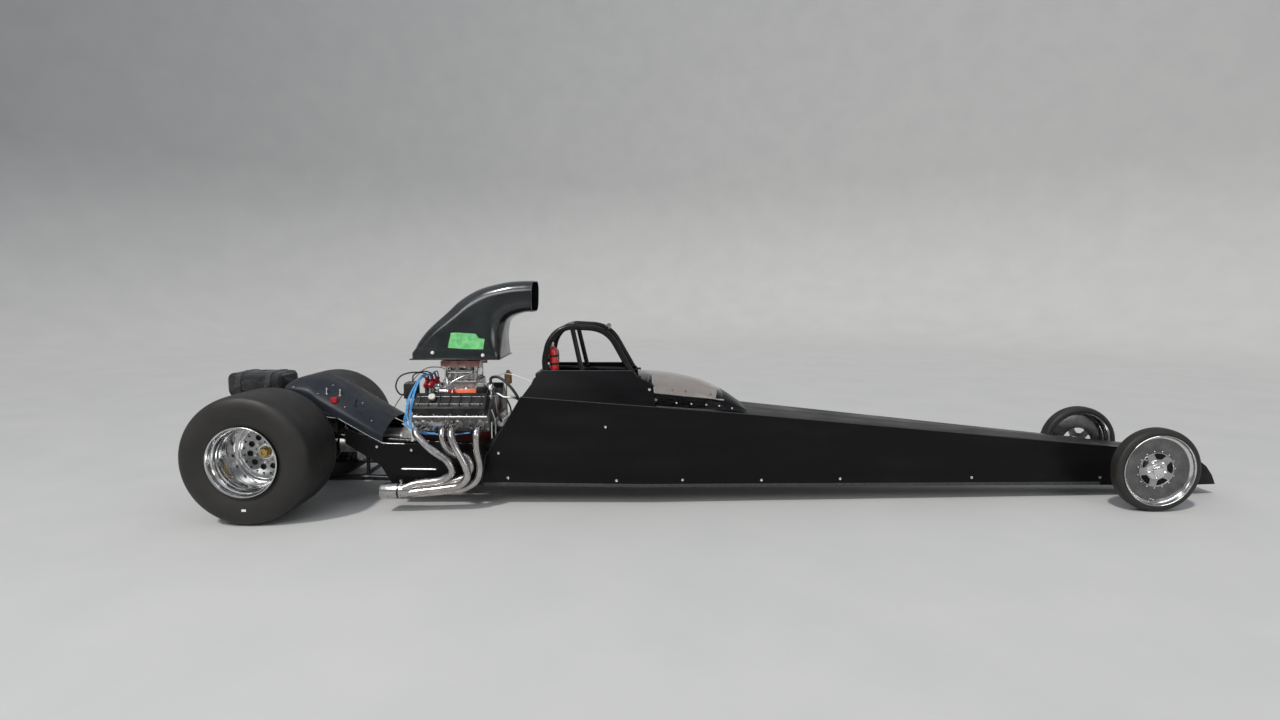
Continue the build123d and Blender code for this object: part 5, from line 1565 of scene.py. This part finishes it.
def deck_height(x, y):
    """The deck's top at a place."""
    for low, high in zip(DECK_ROWS, DECK_ROWS[1:]):
        if x <= high[0]:
            break
    t = (x - low[0]) / (high[0] - low[0])
    width, edge, crown = (low[k] + t * (high[k] - low[k]) for k in (1, 2, 3))
    return edge + (crown - edge) * (1 - min((y / width) ** 2, 1) ** 1.15)


def make_deck_fittings():
    posts = Shape()
    for x, y, tall in ((0.292, -0.192, 0.04), (0.368, -0.165, 0.042)):
        foot = at(x, y, deck_height(x, y))
        posts.bar(foot - Vector((0, 0, 0.006)), foot + Vector((0, 0, 0.005)), 0.0115, 20, 0.001)
        posts.bar(foot, foot + Vector((0, 0, tall)), 0.0058, 16, 0.001)
        posts.bar(foot + Vector((0, 0, tall - 0.012)), foot + Vector((0, 0, tall)), 0.0085, 6, 0.001)
    posts.make("deck_posts", "polished")
    cap = Shape()
    foot = at(0.352, -0.214, deck_height(0.352, -0.214))
    cap.lathe([(-0.012, TIP), (-0.012, 0.022), (0.01, 0.023), (0.022, 0.02), (0.024, TIP)], foot, "Z", 28)
    cap.make("deck_cap", "red_plastic")
    lever = Shape()
    foot = at(0.478, -0.185, deck_height(0.478, -0.185))
    lever.tube([foot - Vector((0, 0, 0.006)), foot + Vector((0.003, 0, 0.022)),
                foot + Vector((0.012, 0, 0.05))], [0.0045, 0.0045, 0.0065], 14)
    foot = at(0.513, -0.212, deck_height(0.513, -0.212))
    lever.block(foot + Vector((-0.024, -0.004, -0.004)), foot + Vector((0.02, 0.004, 0.003)), 0.0015,
                Matrix.Rotation(radians(24), 3, "Y"))
    lever.make("deck_lever", "dark")
    dots = Shape()
    for sign in (-1, 1):
        for x, share in ((0.08, 0.9), (0.246, 0.88), (0.425, 0.86), (0.598, 0.8), (0.3, 0.45), (0.5, 0.45)):
            y = sign * share * (0.212 + 0.105 * x)
            foot = at(x, y, deck_height(x, y) - 0.001)
            dots.lathe([(0.0, TIP), (0.0, 0.0085), (0.0018, 0.0075), (0.0026, TIP)], foot, "Z", 16)
    dots.make("deck_screws", "steel")
    for side, sign in SIDES:
        edge = [at(row[0], sign * (row[1] + 0.0022), row[2] - row[4] + 0.002)
                for row in blended_rows(DECK_ROWS[4:], 4)]
        edge += [at(0.735, sign * 0.2878, 0.4215), at(0.805, sign * 0.2885, 0.4205),
                 at(0.834, sign * 0.2885, 0.419)]
        Shape().tube(edge, 0.0028, 10).make("deck_edge_" + side, "machined")
    lip = [at(0.6905, y, deck_height(0.6899, y) + 0.0005)
           for y in (-0.272, -0.2, -0.12, -0.04, 0.04, 0.12, 0.2, 0.272)]
    Shape().tube(lip, 0.004, 10).make("deck_front_roll", "black_satin")


def make_chute_pack():
    """The soft pack on its tray: swollen fabric, piped edges, two straps, a flap and a ring."""
    low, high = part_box("parachute_pack")
    left, right = low.x - AXLE_X, high.x - AXLE_X
    middle = (low.z + high.z) / 2
    rings = []
    for x, share in ((left + 0.012, 0.82), (left + 0.026, 0.93), (left + 0.09, 0.985),
                     ((left + right) / 2, 1.0), (right - 0.09, 0.985), (right - 0.026, 0.93),
                     (right - 0.012, 0.82)):
        half_height = (high.z - low.z - 0.014) / 2 * share
        corners = rounded_corners(0.13 * share, half_height, 0.022, 5)
        rings.append([at(x, y, middle + up) for y, up in corners])
    shape = Shape().rings(rings)
    skin_mesh = pad("chute_pack", shape, 0.006, 0.007, "nylon", "parachute_pack", tuple(low),
                    tuple(high)).data
    seams = Shape()
    corners = ((-0.14, low.z), (-0.14, high.z), (0.14, high.z), (0.14, low.z), (-0.14, low.z))
    for x in (left + 0.034, right - 0.034):
        loop = laid(skin_mesh, dense([at(x, y, z) for y, z in corners]), 0.0004)
        seams.tube(eased_path(loop), 0.0026, 10)
    for z in (middle + 0.05, middle - 0.04):
        line = laid(skin_mesh, dense([at(left + 0.04, -0.16, z), at(right - 0.04, -0.16, z)]), 0.0002)
        seams.tube(eased_path(line), 0.0016, 8)
    seams.make("chute_piping", "webbing")
    straps = Shape()
    for x in (-0.33, -0.13):
        loop = laid(skin_mesh, dense([at(x, y, z) for y, z in corners]), 0.002)
        webbing(straps, eased_path(loop, 5), 0.036, (1, 0, 0), 0.0026)
    straps.make("chute_straps", "webbing")
    metal = Shape()
    for x in (-0.33, -0.13):
        spot = laid(skin_mesh, [at(x, -0.16, middle)], 0.0035)[0]
        metal.block(spot - Vector((0.022, 0.0015, 0.012)), spot + Vector((0.022, 0.0015, 0.012)), 0.001)
    spot = laid(skin_mesh, [at(-0.23, 0, high.z + 0.02)], 0.0)[0]
    metal.lathe([(-0.002, 0.016), (-0.002, 0.021), (0.002, 0.021), (0.002, 0.016)], spot, "Z", 28)
    metal.make("chute_buckles", "dark_steel")
    eased("parachute_mount", "chute_tray", 0.001)


def make_rear_axle():
    """The calipers, the nuts of the housing, the brake lines and the stays of the gearbox."""
    eased("brake_calipers", "calipers", 0.004)
    rows = []
    for k in range(10):
        a = radians(36 * k + 18)
        rows += [((0.112 * cos(a), sign * 0.0705, REAR_RADIUS + 0.112 * sin(a)), (0, sign, 0), 0.011)
                 for sign in (-1, 1)]
    for sign in (-1, 1):
        for k in range(4):
            a = radians(90 * k + 45)
            rows.append(((0.064 * cos(a), sign * 0.2255, REAR_RADIUS + 0.064 * sin(a)),
                         (0, -sign, 0), 0.01))
        rows += [((-0.135, sign * 0.266, REAR_RADIUS + z), (0, sign, 0), 0.009) for z in (-0.036, 0.036)]
    bolt_rows("axle_bolts", rows)
    lines = Shape()
    for side, sign in SIDES:
        path = [at(-0.12, sign * 0.252, 0.452), at(-0.1, sign * 0.235, 0.485), at(-0.06, sign * 0.2, 0.47),
                at(-0.04, sign * 0.12, 0.47), at(-0.03, sign * 0.04, 0.56)]
        lines.tube(curve_through(path, 6), 0.003, 10)
    lines.make("brake_lines", "braid")
    rails = Shape()
    for sign in (-1, 1):
        rails.tube([at(0.29, sign * 0.05, 0.3), at(0.29, sign * 0.175, 0.255),
                    at(0.24, sign * 0.205, 0.18)], 0.01, 14)
    rails.make("gearbox_stays", "frame_paint")


def make_axle_shaft():
    """The live axle with eased flanges and cross-drilled discs, a little thinner than its bore."""
    centre = at(0, 0, REAR_RADIUS)
    half = [(0.4185, TIP), (0.4185, 0.0182), (0.4175, 0.0192), (0.4122, 0.0192), (0.4122, 0.0785),
            (0.4107, 0.08), (0.3957, 0.08), (0.3942, 0.0785), (0.3942, 0.033), (0.383, 0.0215),
            (0.37, 0.0192)]
    shape = Shape().lathe(half + [(-offset, r) for offset, r in reversed(half)], centre, steps=96)
    hat = [(0.0035, 0.019), (0.0035, 0.072), (0.006, 0.0735), (0.016, 0.056), (0.024, 0.048),
           (0.026, 0.046), (0.026, 0.019)]
    for side, sign in SIDES:
        middle = centre + Vector((0, sign * 0.25, 0))
        disc = holed_disc(middle, 0.146, 0.008, ((24, 0.128, 0.0045, 0), (24, 0.112, 0.0045, 7.5)))
        shape.add(disc.verts, disc.faces)
        shape.lathe(mirror_profile(hat, sign), middle, steps=64)
    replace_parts(shape.make("axle_and_discs", "steel", "rear_axle", slot=slot_of["axle_shaft"]), "axle_shaft")


# Half widths of the body, and the heights of its shoulder, by station.
HALF_WIDTHS = ((1.333, 0.29), (2.4, 0.29), (3.05, 0.251), (5.56, 0.116))
SHOULDER = ((1.333, 0.752), (2.4, 0.671), (3.05, 0.614), (5.56, 0.365))

# Buttons of the right side panel and of the screen, as (station, height).
BUTTONS = (
    (1.51, 0.192), (1.4505, 0.358), (2.156, 0.533), (2.227, 0.172), (2.665, 0.171), (3.195, 0.162),
    (3.73, 0.161), (4.642, 0.154), (5.552, 0.14),
)
SCREEN_BUTTONS = ((2.6215, 0.6899), (2.7202, 0.6823), (2.8193, 0.6746), (2.9054, 0.667), (2.99, 0.65))


def make_trim():
    """Quarter-turn buttons, the folded bead along the shoulder, the edge of the floor and the top strip."""
    buttons = Shape()
    for side, sign in SIDES:
        places = [(x, sign * between(HALF_WIDTHS, x), z) for x, z in BUTTONS]
        places += [(0.876, sign * 0.2867, 0.378), (0.65, sign * 0.2867, 0.4), (1.3, sign * 0.2867, 0.175),
                   (0.8, sign * 0.2867, 0.17), (2.4443, sign * 0.2735, 0.7777)]
        for x, y, z in places:
            profile = [(0.0, TIP), (0.0, 0.0095), (0.0022, 0.0085), (0.003, 0.006),
                       (0.0022, 0.005), (0.0022, TIP)]
            buttons.lathe(mirror_profile(profile, sign), at(x, y, z), "Y", 20)
        for x, z in SCREEN_BUTTONS:
            half = between(HALF_WIDTHS, x)
            buttons.bar(at(x, sign * (half - 0.0085), z), at(x, sign * (half - 0.0035), z - 0.001),
                        0.0062, 14, 0.001)
    buttons.make("panel_buttons", "machined")
    for side, sign in SIDES:
        crease = [at(x, sign * (between(HALF_WIDTHS, x) + 0.0002), between(SHOULDER, x) + 0.0002)
                  for x in (1.612, 2.0, 2.4, 2.725, 3.05, 3.8, 4.7, 5.556)]
        Shape().tube(crease, 0.0026, 10).make("shoulder_bead_" + side, "edge_grey")
        rings = []
        for x, floor in ((1.345, 0.1385), (2.4, 0.1255), (3.05, 0.1175), (5.556, 0.0885)):
            y = between(HALF_WIDTHS, x)
            rings.append([at(x, sign * y, floor + 0.001), at(x, sign * (y + 0.0022), floor + 0.001),
                          at(x, sign * (y + 0.0022), floor + 0.02), at(x, sign * y, floor + 0.022)])
        Shape().rings(rings).make("floor_edge_" + side, "edge_grey")
        top = [at(1.742, sign * 0.2418, 0.8985), at(2.0, sign * 0.2418, 0.8985),
               at(2.326, sign * 0.2418, 0.8985), at(2.368, sign * 0.2425, 0.856)]
        Shape().tube(top, 0.0032, 10).make("cockpit_strip_" + side, "edge_grey")
        rake = [at(1.3345, sign * 0.2912, 0.145), at(1.3655, sign * 0.2912, 0.34),
                at(1.6085, sign * 0.2912, 0.738)]
        Shape().tube(rake, 0.002, 8).make("rear_edge_" + side, "edge_grey")


def make_panels():
    for node, name, width in (("side_panel_right", "panel_right", 0.0009),
                              ("side_panel_left", "panel_left", 0.0009),
                              ("upper_panel_right", "cockpit_side_right", 0.0009),
                              ("upper_panel_left", "cockpit_side_left", 0.0009),
                              ("hood_panel", "hood", 0.0009), ("cowl_panel", "cowl", 0.0008),
                              ("belly_pan", "floor", 0.0008), ("firewall", "bulkhead", 0.0008),
                              ("scoop_tray", "tray", 0.0015), ("front_axle", "axle_beam", 0.0015)):
        eased(node, name, width)
    for side, sign in SIDES:
        eased("front_knuckle_" + side, "knuckle_" + side, 0.0015)
        eased("tail_panel_" + side, "bay_panel_" + side, 0.0008, "black_paint")
    eased("tie_rod", "track_rod", 0.001)
    nose = eased("nose_cone", "nose", 0.001)
    nose.data.set_sharp_from_angle(angle=radians(62))
    wedge = [row for row in blended_rows(SCREEN_ROWS, 5) if row[0] > 2.93]
    mesh = open_sheet("screen_front", wedge, screen_half, (-0.0014, 0.0002))
    wear("screen_front", mesh, "black_paint")


make_deck_fittings()
make_chute_pack()
make_rear_axle()
make_axle_shaft()
make_trim()
make_panels()


# Camera, light and stage

# The camera's place, how far it looks down and how far it is turned, and its focal length in millimetres.
CAMERA_PLACE = (2.3775, -4.4916, 1.4377)
CAMERA_DOWN = radians(6.29)
CAMERA_TURN = -0.0012
LENS = 18.34


def make_camera():
    """The photograph's view: a wide lens at head height, a little ahead of the car's middle."""
    data = bpy.data.cameras.new("camera")
    data.sensor_width = 36
    data.lens = LENS
    camera = placed("camera", data)
    camera.location = at(*CAMERA_PLACE)
    camera.rotation_euler = (pi / 2 - CAMERA_DOWN, 0, CAMERA_TURN)
    bpy.context.scene.camera = camera


def make_stage():
    """A round pale floor that turns up into a backdrop on every side."""
    material = bpy.data.materials.new("stage")
    material.use_nodes = True
    tree = material.node_tree
    shader = shader_of(material)
    shader.inputs["Roughness"].default_value = 0.9
    shader.inputs["Specular IOR Level"].default_value = 0.1
    tree.links.new(ramp(tree, noise(tree, 1.5, 4.0), [(0.3, (0.5, 0.5, 0.5)), (0.7, (0.53, 0.53, 0.525))]),
                   shader.inputs["Base Color"])
    wide, bend, top, steps = 18.0, 5.0, 14.0, 96
    profile = [(2.0, 0.0), (6.0, 0.0), (wide - bend, 0.0)]
    profile += [(wide - bend + bend * sin(radians(a)), bend - bend * cos(radians(a)))
                for a in range(10, 91, 10)]
    profile.append((wide, top))
    centre = at(2.4, 0, 0)
    verts = [tuple(centre)]
    for r, z in profile:
        verts += [(centre.x + r * cos(2 * pi * k / steps), r * sin(2 * pi * k / steps), z)
                  for k in range(steps)]
    faces = [(0, 1 + k, 1 + (k + 1) % steps) for k in range(steps)]
    for row in range(len(profile) - 1):
        low, high = 1 + row * steps, 1 + (row + 1) * steps
        faces += [(low + k, high + k, high + (k + 1) % steps, low + (k + 1) % steps) for k in range(steps)]
    mesh = bpy.data.meshes.new("stage")
    mesh.from_pydata(verts, [], faces)
    mesh.shade_smooth()
    mesh.materials.append(material)
    floor = placed("stage", mesh)
    floor.visible_shadow = False


def lamp(name, kind, place, target, energy, size, colour=(1, 1, 1)):
    """A lamp that looks at its target; its size is two lengths, or the sun's angle in degrees."""
    data = bpy.data.lights.new(name, kind)
    data.energy = energy
    data.color = colour
    if kind == "AREA":
        data.shape = "RECTANGLE"
        data.size, data.size_y = size
    else:
        data.angle = radians(size)
    light = placed(name, data)
    light.location = Vector(place)
    light.rotation_euler = (Vector(target) - Vector(place)).to_track_quat("-Z", "Y").to_euler()


def make_light():
    world = bpy.data.worlds.new("world")
    bpy.context.scene.world = world
    world.use_nodes = True
    sky = world.node_tree.nodes["Background"]
    sky.inputs["Color"].default_value = (0.86, 0.92, 1.0, 1)
    sky.inputs["Strength"].default_value = 0.55
    lamp("sun", "SUN", (-3, -4, 7), (0, 0, 0), 1.9, 4.0, (1.0, 0.97, 0.92))
    lamp("key", "AREA", (-4.0, -5.5, 4.5), (-1.0, 0, 0.5), 130, (4.0, 2.0))
    lamp("fill", "AREA", (4.5, -6.0, 3.0), (1.5, 0, 0.3), 70, (4.0, 2.0))


bpy.context.scene.view_settings.view_transform = "Standard"
make_camera()
make_stage()
make_light()
